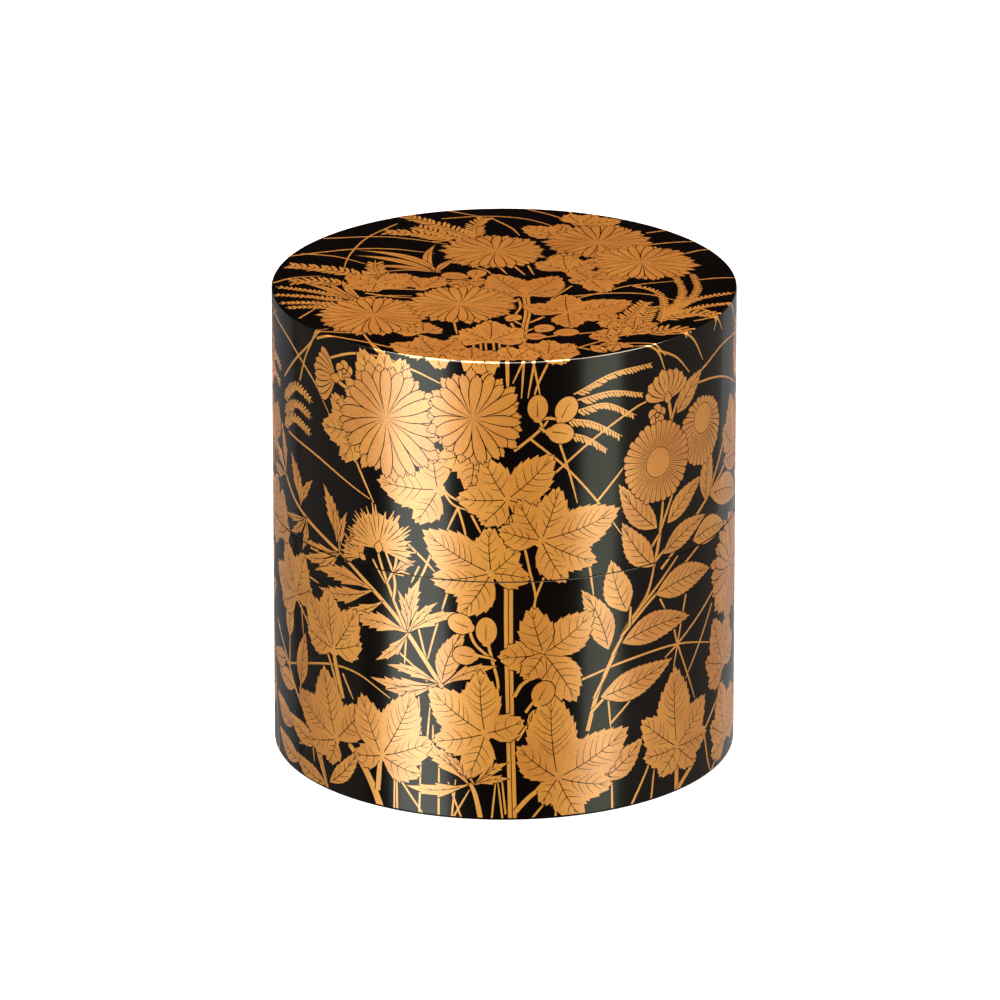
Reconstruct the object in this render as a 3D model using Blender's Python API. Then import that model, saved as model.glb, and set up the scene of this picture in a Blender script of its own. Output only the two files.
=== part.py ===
"""Round lacquered tea caddy, turned in two pieces that meet near mid height.

The body is a cup whose upright inner lip stands above its shoulder. The lid is a deep cap of the
same diameter that slides down over the lip and rests on the shoulder. Both are hollow, with walls
of true thickness. Sizes are in millimetres, and the origin is at the centre of the underside, with
+Z up.
"""

import math

import bmesh
import bpy

METRES_PER_MM = 0.001

# Outside of the closed caddy
OUTER_DIAMETER = 66.0
OVERALL_HEIGHT = 69.2
SHOULDER_HEIGHT = 36.0
TOP_CROWN = 0.4
TOP_ARRIS_RADIUS = 0.7
BASE_ARRIS_RADIUS = 0.5
SEAM_EDGE_RADIUS = 0.15

# Underside, a flat ring around a shallow recess
FOOT_RING_WIDTH = 5.0
FOOT_RECESS_DEPTH = 0.5

# Body
BODY_WALL = 2.9
FLOOR_THICKNESS = 3.0
WELL_CORNER_RADIUS = 4.0
LIP_THICKNESS = 1.2
LIP_HEIGHT = 9.0
LIP_EDGE_RADIUS = 0.4

# Lid
LID_TOP_THICKNESS = 2.6
LID_CORNER_RADIUS = 2.5
LID_MOUTH_EDGE_RADIUS = 0.3
LIP_CLEARANCE = 0.2
SEAT_GAP = 0.3

# How finely the turned shapes are faceted
TURN_STEPS = 96
CROWN_STEPS = 3
SMALL_ARC_STEPS = 2
LARGE_ARC_STEPS = 4

# Radii and heights that follow from the sizes above
OUTER_RADIUS = OUTER_DIAMETER / 2
WELL_RADIUS = OUTER_RADIUS - BODY_WALL
LIP_RADIUS = WELL_RADIUS + LIP_THICKNESS
LID_BORE_RADIUS = LIP_RADIUS + LIP_CLEARANCE
LID_MOUTH_HEIGHT = SHOULDER_HEIGHT + SEAT_GAP
TOP_ARRIS_HEIGHT = OVERALL_HEIGHT - TOP_CROWN
LID_CEILING_HEIGHT = TOP_ARRIS_HEIGHT - LID_TOP_THICKNESS
FLOOR_HEIGHT = FOOT_RECESS_DEPTH + FLOOR_THICKNESS


def clear_scene():
    """Removes every object that the file opens with."""
    for thing in list(bpy.data.objects):
        bpy.data.objects.remove(thing)


def lacquer(name, colour, roughness):
    """A glossy lacquer of one colour."""
    material = bpy.data.materials.new(name)
    material.use_nodes = True
    shader = material.node_tree.nodes["Principled BSDF"]
    shader.inputs["Base Color"].default_value = (*colour, 1.0)
    shader.inputs["Roughness"].default_value = roughness
    shader.inputs["Metallic"].default_value = 0.0
    material.diffuse_color = (*colour, 1.0)
    return material


def rounded_corner(before, corner, after, radius, steps):
    """The points of an arc that rounds a corner between its two neighbours.

    The radius is limited so that the arc uses at most half of either side.
    """
    back = (before[0] - corner[0], before[1] - corner[1])
    ahead = (after[0] - corner[0], after[1] - corner[1])
    back_length = math.hypot(*back)
    ahead_length = math.hypot(*ahead)
    back = (back[0] / back_length, back[1] / back_length)
    ahead = (ahead[0] / ahead_length, ahead[1] / ahead_length)
    half_angle = math.acos(max(-1.0, min(1.0, back[0] * ahead[0] + back[1] * ahead[1]))) / 2
    reach = min(radius / math.tan(half_angle), back_length / 2, ahead_length / 2)
    radius = reach * math.tan(half_angle)
    middle = (back[0] + ahead[0], back[1] + ahead[1])
    middle_length = math.hypot(*middle)
    to_centre = radius / math.sin(half_angle)
    centre = tuple(corner[i] + middle[i] / middle_length * to_centre for i in (0, 1))
    first = tuple(corner[i] + back[i] * reach for i in (0, 1))
    last = tuple(corner[i] + ahead[i] * reach for i in (0, 1))
    start = math.atan2(first[1] - centre[1], first[0] - centre[0])
    turn = math.atan2(last[1] - centre[1], last[0] - centre[0]) - start
    turn = (turn + math.pi) % math.tau - math.pi
    angles = [start + turn * step / steps for step in range(steps + 1)]
    return [(centre[0] + radius * math.cos(a), centre[1] + radius * math.sin(a)) for a in angles]


def profile(corners):
    """Turns corners, each (radius, height, rounding, arc steps), into the outline's points."""
    points = []
    for index, (radius, height, rounding, steps) in enumerate(corners):
        if rounding:
            before = corners[index - 1][:2]
            after = corners[index + 1][:2]
            points += rounded_corner(before, (radius, height), after, rounding, steps)
        else:
            points.append((radius, height))
    return points


def turned(name, outline, material):
    """Spins an outline that starts and ends on the axis into one closed piece."""
    shape = bmesh.new()
    scaled = [(r * METRES_PER_MM, 0.0, z * METRES_PER_MM) for r, z in outline]
    points = [shape.verts.new(point) for point in scaled]
    edges = [shape.edges.new(pair) for pair in zip(points, points[1:])]
    bmesh.ops.spin(
        shape,
        geom=points + edges,
        axis=(0, 0, 1),
        cent=(0, 0, 0),
        angle=math.tau,
        steps=TURN_STEPS,
        use_merge=True,
    )
    bmesh.ops.remove_doubles(shape, verts=shape.verts, dist=1e-6)
    bmesh.ops.recalc_face_normals(shape, faces=shape.faces)
    mesh = bpy.data.meshes.new(name)
    shape.to_mesh(mesh)
    shape.free()
    mesh.materials.append(material)
    mesh.shade_smooth()
    mesh.set_sharp_from_angle(angle=math.radians(30))
    piece = bpy.data.objects.new(name, mesh)
    bpy.context.scene.collection.objects.link(piece)
    return piece


def body_outline():
    """The body, from the recess's middle out, up the side, over the lip and down into the well."""
    ring_inside = OUTER_RADIUS - FOOT_RING_WIDTH
    lip_top = SHOULDER_HEIGHT + LIP_HEIGHT
    return profile(
        [
            (0.0, FOOT_RECESS_DEPTH, 0, 0),
            (ring_inside - FOOT_RECESS_DEPTH, FOOT_RECESS_DEPTH, 0, 0),
            (ring_inside, 0.0, 0, 0),
            (OUTER_RADIUS, 0.0, BASE_ARRIS_RADIUS, LARGE_ARC_STEPS),
            (OUTER_RADIUS, SHOULDER_HEIGHT, SEAM_EDGE_RADIUS, SMALL_ARC_STEPS),
            (LIP_RADIUS, SHOULDER_HEIGHT, 0, 0),
            (LIP_RADIUS, lip_top, LIP_EDGE_RADIUS, SMALL_ARC_STEPS),
            (WELL_RADIUS, lip_top, LIP_EDGE_RADIUS, SMALL_ARC_STEPS),
            (WELL_RADIUS, FLOOR_HEIGHT, WELL_CORNER_RADIUS, LARGE_ARC_STEPS),
            (0.0, FLOOR_HEIGHT, 0, 0),
        ]
    )


def lid_outline():
    """The lid, from its ceiling's middle out, down the bore, round the mouth and up over the top."""
    crown = []
    for step in range(CROWN_STEPS, 0, -1):
        share = step / (CROWN_STEPS + 1)
        crown.append((OUTER_RADIUS * share, OVERALL_HEIGHT - TOP_CROWN * share**2, 0, 0))
    return profile(
        [
            (0.0, LID_CEILING_HEIGHT, 0, 0),
            (LID_BORE_RADIUS, LID_CEILING_HEIGHT, LID_CORNER_RADIUS, LARGE_ARC_STEPS),
            (LID_BORE_RADIUS, LID_MOUTH_HEIGHT, LID_MOUTH_EDGE_RADIUS, SMALL_ARC_STEPS),
            (OUTER_RADIUS, LID_MOUTH_HEIGHT, SEAM_EDGE_RADIUS, SMALL_ARC_STEPS),
            (OUTER_RADIUS, TOP_ARRIS_HEIGHT, TOP_ARRIS_RADIUS, LARGE_ARC_STEPS),
            *crown,
            (0.0, OVERALL_HEIGHT, 0, 0),
        ]
    )


def main():
    """Builds the closed caddy."""
    clear_scene()
    black = lacquer("black_lacquer", (0.012, 0.011, 0.012), 0.12)
    turned("caddy_body", body_outline(), black)
    turned("caddy_lid", lid_outline(), black)


main()
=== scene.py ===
"""Looks of a straight-sided lacquer tea caddy with flat gold autumn plants.

The caddy is turned wood under polished black lacquer, in two pieces that meet at mid height. The
plants are drawn as outlines on the unrolled side and on the round top, cut into one sheet of
triangles in which the shape drawn last wins, and laid on the lacquer as a layer of gold whose face
stands a few thousandths of a millimetre above it. Veins and the lines between petals are bare
lacquer. Drawing sizes are in millimetres, a place in a drawing is a complex number, and meshes are
in metres.
"""

import cmath
import logging
import math
import random
from collections.abc import Callable, Iterator, Sequence
from contextlib import contextmanager
from dataclasses import dataclass, field, replace
from enum import Enum

import bmesh
import bpy
import numpy as np
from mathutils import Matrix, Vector
from mathutils.geometry import delaunay_2d_cdt


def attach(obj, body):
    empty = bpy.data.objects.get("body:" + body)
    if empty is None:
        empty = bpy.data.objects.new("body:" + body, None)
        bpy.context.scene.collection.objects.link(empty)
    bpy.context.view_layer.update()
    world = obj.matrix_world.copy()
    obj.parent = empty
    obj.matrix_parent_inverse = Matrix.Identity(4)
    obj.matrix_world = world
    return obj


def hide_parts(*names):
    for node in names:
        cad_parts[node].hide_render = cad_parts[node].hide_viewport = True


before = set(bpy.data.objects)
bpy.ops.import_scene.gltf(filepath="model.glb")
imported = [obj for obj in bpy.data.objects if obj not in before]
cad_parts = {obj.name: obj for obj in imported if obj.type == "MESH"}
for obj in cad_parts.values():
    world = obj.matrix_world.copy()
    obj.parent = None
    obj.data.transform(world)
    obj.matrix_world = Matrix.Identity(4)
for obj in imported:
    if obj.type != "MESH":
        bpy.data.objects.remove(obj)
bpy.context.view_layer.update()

LOG = logging.getLogger("tea_caddy")
MM = 0.001

# Distance in metres within which two points are the same
SAME_PLACE = 1e-6

# Distance in millimetres within which two points of a drawing are the same
SAME_POINT = 1e-5

# The least upward share of the normal of a flat layer's face, which its walls and underside lack
UPWARD = 0.5

# Widths of the bare lacquer lines that part the gold, in millimetres
HALO = 0.14
PETAL_GAP = 0.15
VEIN = 0.165

# Distances between the teeth of a single leaf, of a lobe, and between side veins, in millimetres
LEAF_TOOTH = 1.1
LOBE_TOOTH = 1.35
VEIN_STEP = 1.7

# Between what tones a motif of grass, and any other motif, gets its own
GRASS_TONES = (0.6, 1.0)
OTHER_TONES = (0.0, 0.6)

# The web between two lobes of a leaf reaches out to a share of the shorter lobe, which is the first
# number divided by the angle between them in degrees. An angle under the second number counts as
# that, and lobes that are further apart than the third have no web
NOTCH_DEGREES = 34
NARROWEST_NOTCH = 45
WIDEST_NOTCH = 82


class Ink(Enum):
    """What a drawn shape leaves on the surface."""

    BARE = "bare lacquer"
    GOLD = "gold powder"


class Plant(Enum):
    """The kinds of growth in the drawing, each laid as a piece of its own."""

    GRASSES = "grasses"
    LEAVES = "leaves"
    FLOWERS = "flowers"


@dataclass(frozen=True)
class Shape:
    """One closed outline of the drawing.

    Attributes:
        outline: Its points.
        ink: What it leaves on the surface.
        plant: The kind of growth it belongs to.
        tone: How thick its gold lies, from 0 to 1.
    """

    outline: np.ndarray
    ink: Ink
    plant: Plant
    tone: float


def bent_line(start: complex, bend: complex, end: complex, steps: int = 8) -> np.ndarray:
    """A line that leaves start towards bend and arrives at end.

    Args:
        start: First point.
        bend: Point that pulls the line sideways.
        end: Last point.
        steps: Number of straight stretches.

    Returns:
        The points of the line.
    """
    t = np.linspace(0, 1, steps + 1)
    return start * (1 - t) ** 2 + bend * 2 * t * (1 - t) + end * t**2


def line_through(points: Sequence[complex], steps: int = 5) -> np.ndarray:
    """A smooth line through some points.

    Args:
        points: The points, at least two.
        steps: Number of straight stretches between neighbours.

    Returns:
        The points of the line.
    """
    p = np.array([2 * points[0] - points[1], *points, 2 * points[-1] - points[-2]])
    t = np.linspace(0, 1, steps, endpoint=False)
    stretches = []
    for a, b, c, d in zip(p, p[1:], p[2:], p[3:]):
        cubic = (-a + 3 * b - 3 * c + d) * t**3 + (2 * a - 5 * b + 4 * c - d) * t**2
        stretches.append((cubic + (c - a) * t + 2 * b) / 2)
    return np.append(np.concatenate(stretches), points[-1])


def ribbon(path: np.ndarray, widths: Sequence[float]) -> np.ndarray:
    """The outline of a stroke of changing width.

    Args:
        path: Points along the middle of the stroke.
        widths: Widths at evenly spread places from its start to its end.

    Returns:
        The closed outline.
    """
    along = np.gradient(path)
    across = 1j * along / np.maximum(np.abs(along), 1e-9)
    share = np.linspace(0, 1, len(path))
    half = np.interp(share, np.linspace(0, 1, len(widths)), widths) / 2
    return np.concatenate([path + across * half, (path - across * half)[::-1]])


def polar(length: float, degrees: float) -> complex:
    """A step of some length in a direction in degrees."""
    return cmath.rect(length, math.radians(degrees))


def oval(at: complex, length: float, width: float, angle: float, steps: int = 20) -> np.ndarray:
    """An ellipse.

    Args:
        at: Its middle.
        length: Its long diameter.
        width: Its short diameter.
        angle: Direction of the long one in degrees.
        steps: Number of points.

    Returns:
        The closed outline.
    """
    around = np.linspace(0, math.tau, steps, endpoint=False)
    turned = polar(1, angle)
    return at + turned * (np.cos(around) * length / 2 + 1j * np.sin(around) * width / 2)


@dataclass
class Drawing:
    """Shapes in the order they are painted, so that each covers those before it.

    Attributes:
        shapes: What has been painted.
        plant: The kind of growth that is being painted.
        tone: How thick the gold of the motif being painted lies, from 0 to 1.
        shift: Move that is applied to what is painted.
        mirrored: Whether what is painted is first turned left for right.
    """

    shapes: list[Shape] = field(default_factory=list)
    plant: Plant = Plant.GRASSES
    tone: float = 0.5
    shift: complex = 0
    mirrored: bool = False

    def draw(self, motifs: Sequence["Motif"]) -> list[Shape]:
        """Paints motifs in order.

        Args:
            motifs: The motifs.

        Returns:
            All shapes painted so far.
        """
        for motif in motifs:
            motif.draw(self)
        return self.shapes

    @contextmanager
    def moved(self, shift: complex, mirrored: bool = False) -> Iterator[None]:
        """Paints what follows in another place.

        Args:
            shift: The move, after any mirroring about the line where the real part is 0.
            mirrored: Whether left and right change places.
        """
        before = self.shift, self.mirrored
        self.shift, self.mirrored = shift, mirrored
        yield
        self.shift, self.mirrored = before

    def begin(self, plant: Plant, at: complex) -> random.Random:
        """Starts a motif and chooses its tone.

        Args:
            plant: The kind of growth.
            at: Its place, which loads the dice.

        Returns:
            The dice that shape it.
        """
        dice = random.Random(f"{at:.3f} {self.shift:.3f} {self.mirrored}")
        self.plant = plant
        self.tone = dice.uniform(*(GRASS_TONES if plant is Plant.GRASSES else OTHER_TONES))
        return dice

    def _paint(self, outline: np.ndarray, ink: Ink) -> None:
        """Adds one outline.

        Args:
            outline: Its points.
            ink: What it leaves.
        """
        points = np.asarray(outline, complex)
        if self.mirrored:
            points = -points.conjugate()
        self.shapes.append(Shape(points + self.shift, ink, self.plant, self.tone))

    def gold(self, outline: np.ndarray) -> None:
        """Fills an outline with gold."""
        self._paint(outline, Ink.GOLD)

    def bare(self, outline: np.ndarray) -> None:
        """Leaves lacquer bare within an outline."""
        self._paint(outline, Ink.BARE)

    def edged(self, blade: "Blade", line: float = HALO) -> None:
        """Fills a blade with gold, with a bare line of some width round it."""
        self.bare(blade.outline(line))
        self.gold(blade.outline())

    def vein(self, path: np.ndarray, width: float = VEIN) -> None:
        """Leaves a line bare that thins towards its end."""
        self.bare(ribbon(path, (width, width * 0.9, width * 0.45)))


@dataclass(frozen=True)
class Blade:
    """The outline of a leaf or of a lobe of one, from its base to its tip.

    Attributes:
        base: Where it starts.
        tip: Where it ends.
        width: Its greatest width.
        belly: Share of its length at which it is widest.
        foot: How its sides leave the base, from 1 for straight to 3 for round.
        head: How its sides run to the tip, from 1 for straight to 3 for round.
        teeth: Number of teeth on each side.
        depth: How far a tooth near the base stands out.
        bow: How far its middle bends aside, as a share of its length.
    """

    base: complex
    tip: complex
    width: float
    belly: float = 0.42
    foot: float = 2.2
    head: float = 1.6
    teeth: int = 6
    depth: float = 0.34
    bow: float = 0.0

    def half_width(self, share: float) -> float:
        """The width along the blade.

        Args:
            share: The share, counted from the base.

        Returns:
            Half the width there.
        """
        if share < self.belly:
            away, power = 1 - max(share, 0.0) / self.belly, self.foot
        else:
            away, power = (min(share, 1.0) - self.belly) / (1 - self.belly), self.head
        return self.width / 2 * (1 - away**power)

    def place(self, share: float, across: float) -> complex:
        """A point of the blade.

        Args:
            share: Share of the length.
            across: Distance to the left of the middle.

        Returns:
            The point.
        """
        axis = self.tip - self.base
        length = abs(axis)
        aside = across + self.bow * length * 4 * share * (1 - share)
        return self.base + axis * share + 1j * axis / length * aside

    def edge(self) -> list[tuple[float, float]]:
        """One side.

        Returns:
            Its points, each a share of the length and a distance from the middle.
        """
        dice = random.Random(f"{self.base:.3f} {self.tip:.3f}")
        if not self.teeth:
            return [(share, self.half_width(share)) for share in np.linspace(0.03, 0.97, 15)]
        first, last = 0.08, 0.95
        step = (last - first) / self.teeth
        points = [(0.02, self.half_width(0.02))]
        for count in range(self.teeth):
            notch = first + step * count
            crest = notch + step * dice.uniform(1.04, 1.24)
            out = self.depth * dice.uniform(0.7, 1.2) * (1 - 0.55 * crest)
            points.append((notch, self.half_width(notch)))
            points.append((crest, self.half_width(notch + step * 0.85) + out))
        points.append((last, self.half_width(last)))
        return points

    def outline(self, grow: float = 0.0) -> np.ndarray:
        """The closed outline.

        Args:
            grow: How far every side is moved out.

        Returns:
            Its points.
        """
        stretch = grow / abs(self.tip - self.base)
        edge = self.edge()
        left = [self.place(share, width + grow) for share, width in edge]
        right = [self.place(share, -width - grow) for share, width in reversed(edge)]
        base, tip = self.place(-stretch, 0), self.place(1.03 + 1.5 * stretch, 0)
        return np.array([base, *left, tip, *right])

    def draw_veins(
        self, drawing: Drawing, first: float = 0.14, room: tuple[float, float] = (9.0, 9.0)
    ) -> None:
        """Leaves the middle rib and the side veins bare.

        Args:
            drawing: Where the blade has been painted.
            first: Share of the length at which the lowest pair of veins leaves the rib.
            room: How far the blade's own part widens to its left and to its right for each
                millimetre from its base, where neighbours grow from the same base.
        """
        length = abs(self.tip - self.base)
        rib = np.array([self.place(share, 0) for share in np.linspace(0.07, 0.93, 8)])
        drawing.vein(rib, VEIN * 0.9)
        dice = random.Random(f"{self.base:.3f} {self.tip:.3f}")
        for share in np.linspace(first, 0.78, max(3, round(length / VEIN_STEP))):
            for side, widens in zip((1, -1), room):
                leaves = share + dice.uniform(-0.02, 0.02)
                end = min(leaves + dice.uniform(0.13, 0.18), 0.95)
                widest = dice.uniform(0.68, 0.86) * self.half_width(end)
                reach = min(widest, 0.8 * widens * end * length)
                bend = self.place(leaves + 0.04, side * reach * 0.5)
                path = bent_line(self.place(leaves, 0), bend, self.place(end, side * reach), 3)
                drawing.vein(path, VEIN * 0.62)


@dataclass(frozen=True)
class Leaf:
    """A single toothed leaf with a rib and paired veins.

    Attributes:
        base: Where it starts.
        tip: Where it ends.
        width: Its greatest width.
        bow: How far its middle bends aside, as a share of its length.
    """

    base: complex
    tip: complex
    width: float
    bow: float

    def draw(self, drawing: Drawing) -> None:
        """Paints the leaf.

        Args:
            drawing: Where it is painted.
        """
        drawing.begin(Plant.LEAVES, self.base + self.tip)
        length = abs(self.tip - self.base)
        teeth = max(5, round(length / LEAF_TOOTH))
        blade = Blade(self.base, self.tip, self.width, teeth=teeth, depth=0.22, bow=self.bow)
        drawing.edged(blade)
        blade.draw_veins(drawing)


@dataclass(frozen=True)
class CutBlade(Blade):
    """A narrow blade with a slim foot, a few long teeth that point ahead, and a drawn-out tip."""

    def edge(self) -> list[tuple[float, float]]:
        """One side.

        Returns:
            Its points, each a share of the length and a distance from the middle.
        """
        half = self.width / 2
        points = [(0.02, 0.08 * half), (0.2, 0.3 * half), (0.34, 0.66 * half)]
        reaches = np.linspace(0.54, 0.8, self.teeth) if self.teeth > 1 else (0.62,)
        for share in reaches:
            out = 1.1 - 1.1 * (share - 0.54)
            points.append((share - 0.07, (out - 0.12) * half))
            points.append((share, out * half))
            points.append((share - 0.02, (out - 0.34) * half))
        points.append((0.93, 0.2 * half))
        return points


@dataclass(frozen=True)
class LanceLeaf:
    """A narrow leaf with only a rib, and at its sides a few long teeth or none.

    Attributes:
        base: Where it starts.
        tip: Where it ends.
        width: Its greatest width.
        teeth: Number of teeth on each side.
        bow: How far its middle bends aside, as a share of its length.
    """

    base: complex
    tip: complex
    width: float
    teeth: int
    bow: float

    def draw(self, drawing: Drawing) -> None:
        """Paints the leaf.

        Args:
            drawing: Where it is painted.
        """
        drawing.begin(Plant.LEAVES, self.base + self.tip)
        shape = (self.base, self.tip, self.width)
        if self.teeth:
            blade = CutBlade(*shape, teeth=self.teeth, bow=self.bow)
        else:
            blade = Blade(*shape, belly=0.5, foot=1.8, head=1.8, teeth=0, bow=self.bow)
        drawing.edged(blade)
        rib = np.array([blade.place(share, 0) for share in np.linspace(0.14, 0.82, 6)])
        drawing.vein(rib, VEIN * 0.7)
        for share in np.linspace(0.38, 0.6, self.teeth) if self.teeth else ():
            for side in (1, -1):
                reach = 0.26 * self.width * side
                line = np.array([blade.place(share, 0), blade.place(share + 0.13, reach)])
                drawing.vein(line, VEIN * 0.42)


@dataclass(frozen=True)
class LobedLeaf:
    """A broad leaf of several toothed lobes that spread from one point.

    Attributes:
        at: Where the ribs meet.
        lobes: For each lobe its direction in degrees and its length, the ones behind first.
        breadth: Width of a lobe as a share of its length.
        parted: Whether the lobes are leaflets, each with a bare line round it.
    """

    at: complex
    lobes: Sequence[tuple[float, float]]
    breadth: float
    parted: bool = False

    def webs(self) -> list[np.ndarray]:
        """What joins neighbouring lobes, as far out as the notch between them.

        Returns:
            The closed outlines.
        """
        ordered = sorted((angle % 360, length) for angle, length in self.lobes)
        made = []
        for (angle, length), (other, far) in zip(ordered, ordered[1:] + ordered[:1]):
            turn = (other - angle) % 360
            if turn < WIDEST_NOTCH:
                share = NOTCH_DEGREES / max(turn, NARROWEST_NOTCH)
                notch = share * min(length, far), angle + turn / 2
                corners = (0.78 * length, angle), notch, (0.78 * far, other)
                around = [polar(away, way) for away, way in corners]
                made.append(self.at + np.array([0, *around]))
        return made

    def blades(self) -> list[Blade]:
        """The lobes.

        Returns:
            One blade for each lobe.
        """
        made = []
        for angle, length in self.lobes:
            tip = self.at + polar(length, angle)
            width, teeth = self.breadth * length + 1.8, max(3, round(length / LOBE_TOOTH))
            bow = 0.03 if angle > 90 else -0.03
            made.append(Blade(self.at, tip, width, 0.5, 2.0, 1.75, teeth, 0.4, bow))
        return made

    def room(self, angle: float) -> tuple[float, float]:
        """The part of a lobe that its neighbours leave it.

        Args:
            angle: Direction of the lobe in degrees.

        Returns:
            How far it widens to its left and right for each millimetre from its base.
        """
        turns = [(other - angle) % 360 for other, _ in self.lobes if other != angle]
        nearest = min(turns), 360 - max(turns)
        return tuple(math.tan(math.radians(min(turn, 150) / 2)) for turn in nearest)

    def draw(self, drawing: Drawing) -> None:
        """Paints the leaf.

        Args:
            drawing: Where it is painted.
        """
        drawing.begin(Plant.LEAVES, self.at)
        blades = self.blades()
        for blade in blades:
            drawing.bare(blade.outline(HALO))
        for blade in blades:
            if self.parted:
                drawing.bare(blade.outline(PETAL_GAP))
            drawing.gold(blade.outline())
            if self.parted:
                blade.draw_veins(drawing, first=0.2)
        if self.parted:
            return
        for web in self.webs():
            drawing.gold(web)
        shortest = min(length for _, length in self.lobes)
        drawing.gold(oval(self.at, shortest * 0.36, shortest * 0.36, 0, 14))
        for blade, (angle, _) in zip(blades, self.lobes):
            blade.draw_veins(drawing, 0.26, self.room(angle))


@dataclass(frozen=True)
class Petal(Blade):
    """A petal with a blunt end that is nicked on both sides of its tip."""

    def edge(self) -> list[tuple[float, float]]:
        """One side.

        Returns:
            Its points, each a share of the length and a distance from the middle.
        """
        shares = (0.04, 0.25, 0.48, 0.66, 0.8, 0.9, 0.955, 0.94, 0.99)
        widths = (0.06, 0.25, 0.43, 0.5, 0.48, 0.4, 0.27, 0.17, 0.1)
        return [(share, width * self.width) for share, width in zip(shares, widths)]

    def outline(self, grow: float = 0.0) -> np.ndarray:
        """The closed outline.

        Args:
            grow: How far its sides are moved out, less near the base so that the middle stays gold.

        Returns:
            Its points.
        """
        edge = [(share, width + grow * min(1.0, share / 0.4)) for share, width in self.edge()]
        left = [self.place(share, width) for share, width in edge]
        right = [self.place(share, -width) for share, width in reversed(edge)]
        tip = self.place(1 + grow / abs(self.tip - self.base), 0)
        return np.array([self.base, *left, tip, *right])


@dataclass(frozen=True)
class Chrysanthemum:
    """A full flower with two rings of long petals round a point.

    Attributes:
        at: Its middle.
        radius: Its mean radius.
        petals: Number of petals in each ring.
        lean: How much longer the petals on one side are, as a share of the radius.
        facing: The side with the longer petals, in degrees.
    """

    at: complex
    radius: float
    petals: int
    lean: float
    facing: float

    def petal(self, angle: float, share: float, dice: random.Random) -> Petal:
        """One petal.

        Args:
            angle: Its direction in degrees.
            share: Its length as a share of the full one.
            dice: What varies it.

        Returns:
            The petal.
        """
        leaning = 1 + self.lean * math.cos(math.radians(angle - self.facing))
        length = self.radius * leaning * share * dice.uniform(0.92, 1.06)
        turned = angle + dice.uniform(-2.5, 2.5)
        tip = self.at + polar(length, turned)
        width = math.tau * self.radius / self.petals * dice.uniform(0.66, 0.8)
        return Petal(self.at, tip, width, bow=dice.uniform(-0.03, 0.03))

    def draw(self, drawing: Drawing) -> None:
        """Paints the flower.

        Args:
            drawing: Where it is painted.
        """
        dice = drawing.begin(Plant.FLOWERS, self.at)
        step = 360 / self.petals
        start = dice.uniform(0, step)
        behind = [self.petal(start + step * (k + 0.5), 1.02, dice) for k in range(self.petals)]
        front = [self.petal(start + step * k, 0.96, dice) for k in range(self.petals)]
        for petal in behind + front:
            drawing.bare(petal.outline(HALO))
        order = front[:]
        dice.shuffle(order)
        for petal in behind + order:
            drawing.edged(petal, PETAL_GAP)


@dataclass(frozen=True)
class Daisy:
    """A flower with a smooth round disc and a ring of narrow rays.

    Attributes:
        at: Middle of the flower.
        radius: Its outer radius.
        disc: Radius of its disc.
        disc_at: Middle of the disc, measured from the middle of the flower.
        rays: Number of rays.
    """

    at: complex
    radius: float
    disc: float
    disc_at: complex
    rays: int = 30

    def draw(self, drawing: Drawing) -> None:
        """Paints the flower.

        Args:
            drawing: Where it is painted.
        """
        dice = drawing.begin(Plant.FLOWERS, self.at)
        step = math.tau / self.rays
        angles = [step * k for k in range(self.rays)]
        reaches = [self.radius * dice.uniform(0.96, 1.03) for _ in angles]
        for grow, paint in ((HALO, drawing.bare), (0.0, drawing.gold)):
            rim = []
            for angle, reach in zip(angles, reaches):
                for turn, share in ((0.06, 0.955), (0.25, 1.0), (0.75, 1.0), (0.94, 0.955)):
                    rim.append(self.at + cmath.rect(reach * share + grow, angle + step * turn))
            paint(np.array(rim))
        middle = self.at + self.disc_at
        for angle, reach in zip(angles, reaches):
            outer = self.at + cmath.rect(reach * 1.02, angle)
            inner = middle + cmath.rect(self.disc * 0.95, cmath.phase(outer - middle))
            drawing.bare(ribbon(np.array([inner, (inner + outer) / 2, outer]), (0.07, 0.1, 0.12)))
            mid = self.at + cmath.rect(reach * dice.uniform(0.8, 0.9), angle + step / 2)
            inside = middle + cmath.rect(self.disc * 1.15, cmath.phase(mid - middle))
            drawing.vein(np.array([inside, (inside + mid) / 2, mid]), 0.07)
        drawing.bare(oval(middle, 2 * self.disc + 0.2, 2 * self.disc + 0.2, 0, 28))
        drawing.gold(oval(middle, 2 * self.disc, 2 * self.disc, 0, 28))


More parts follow.
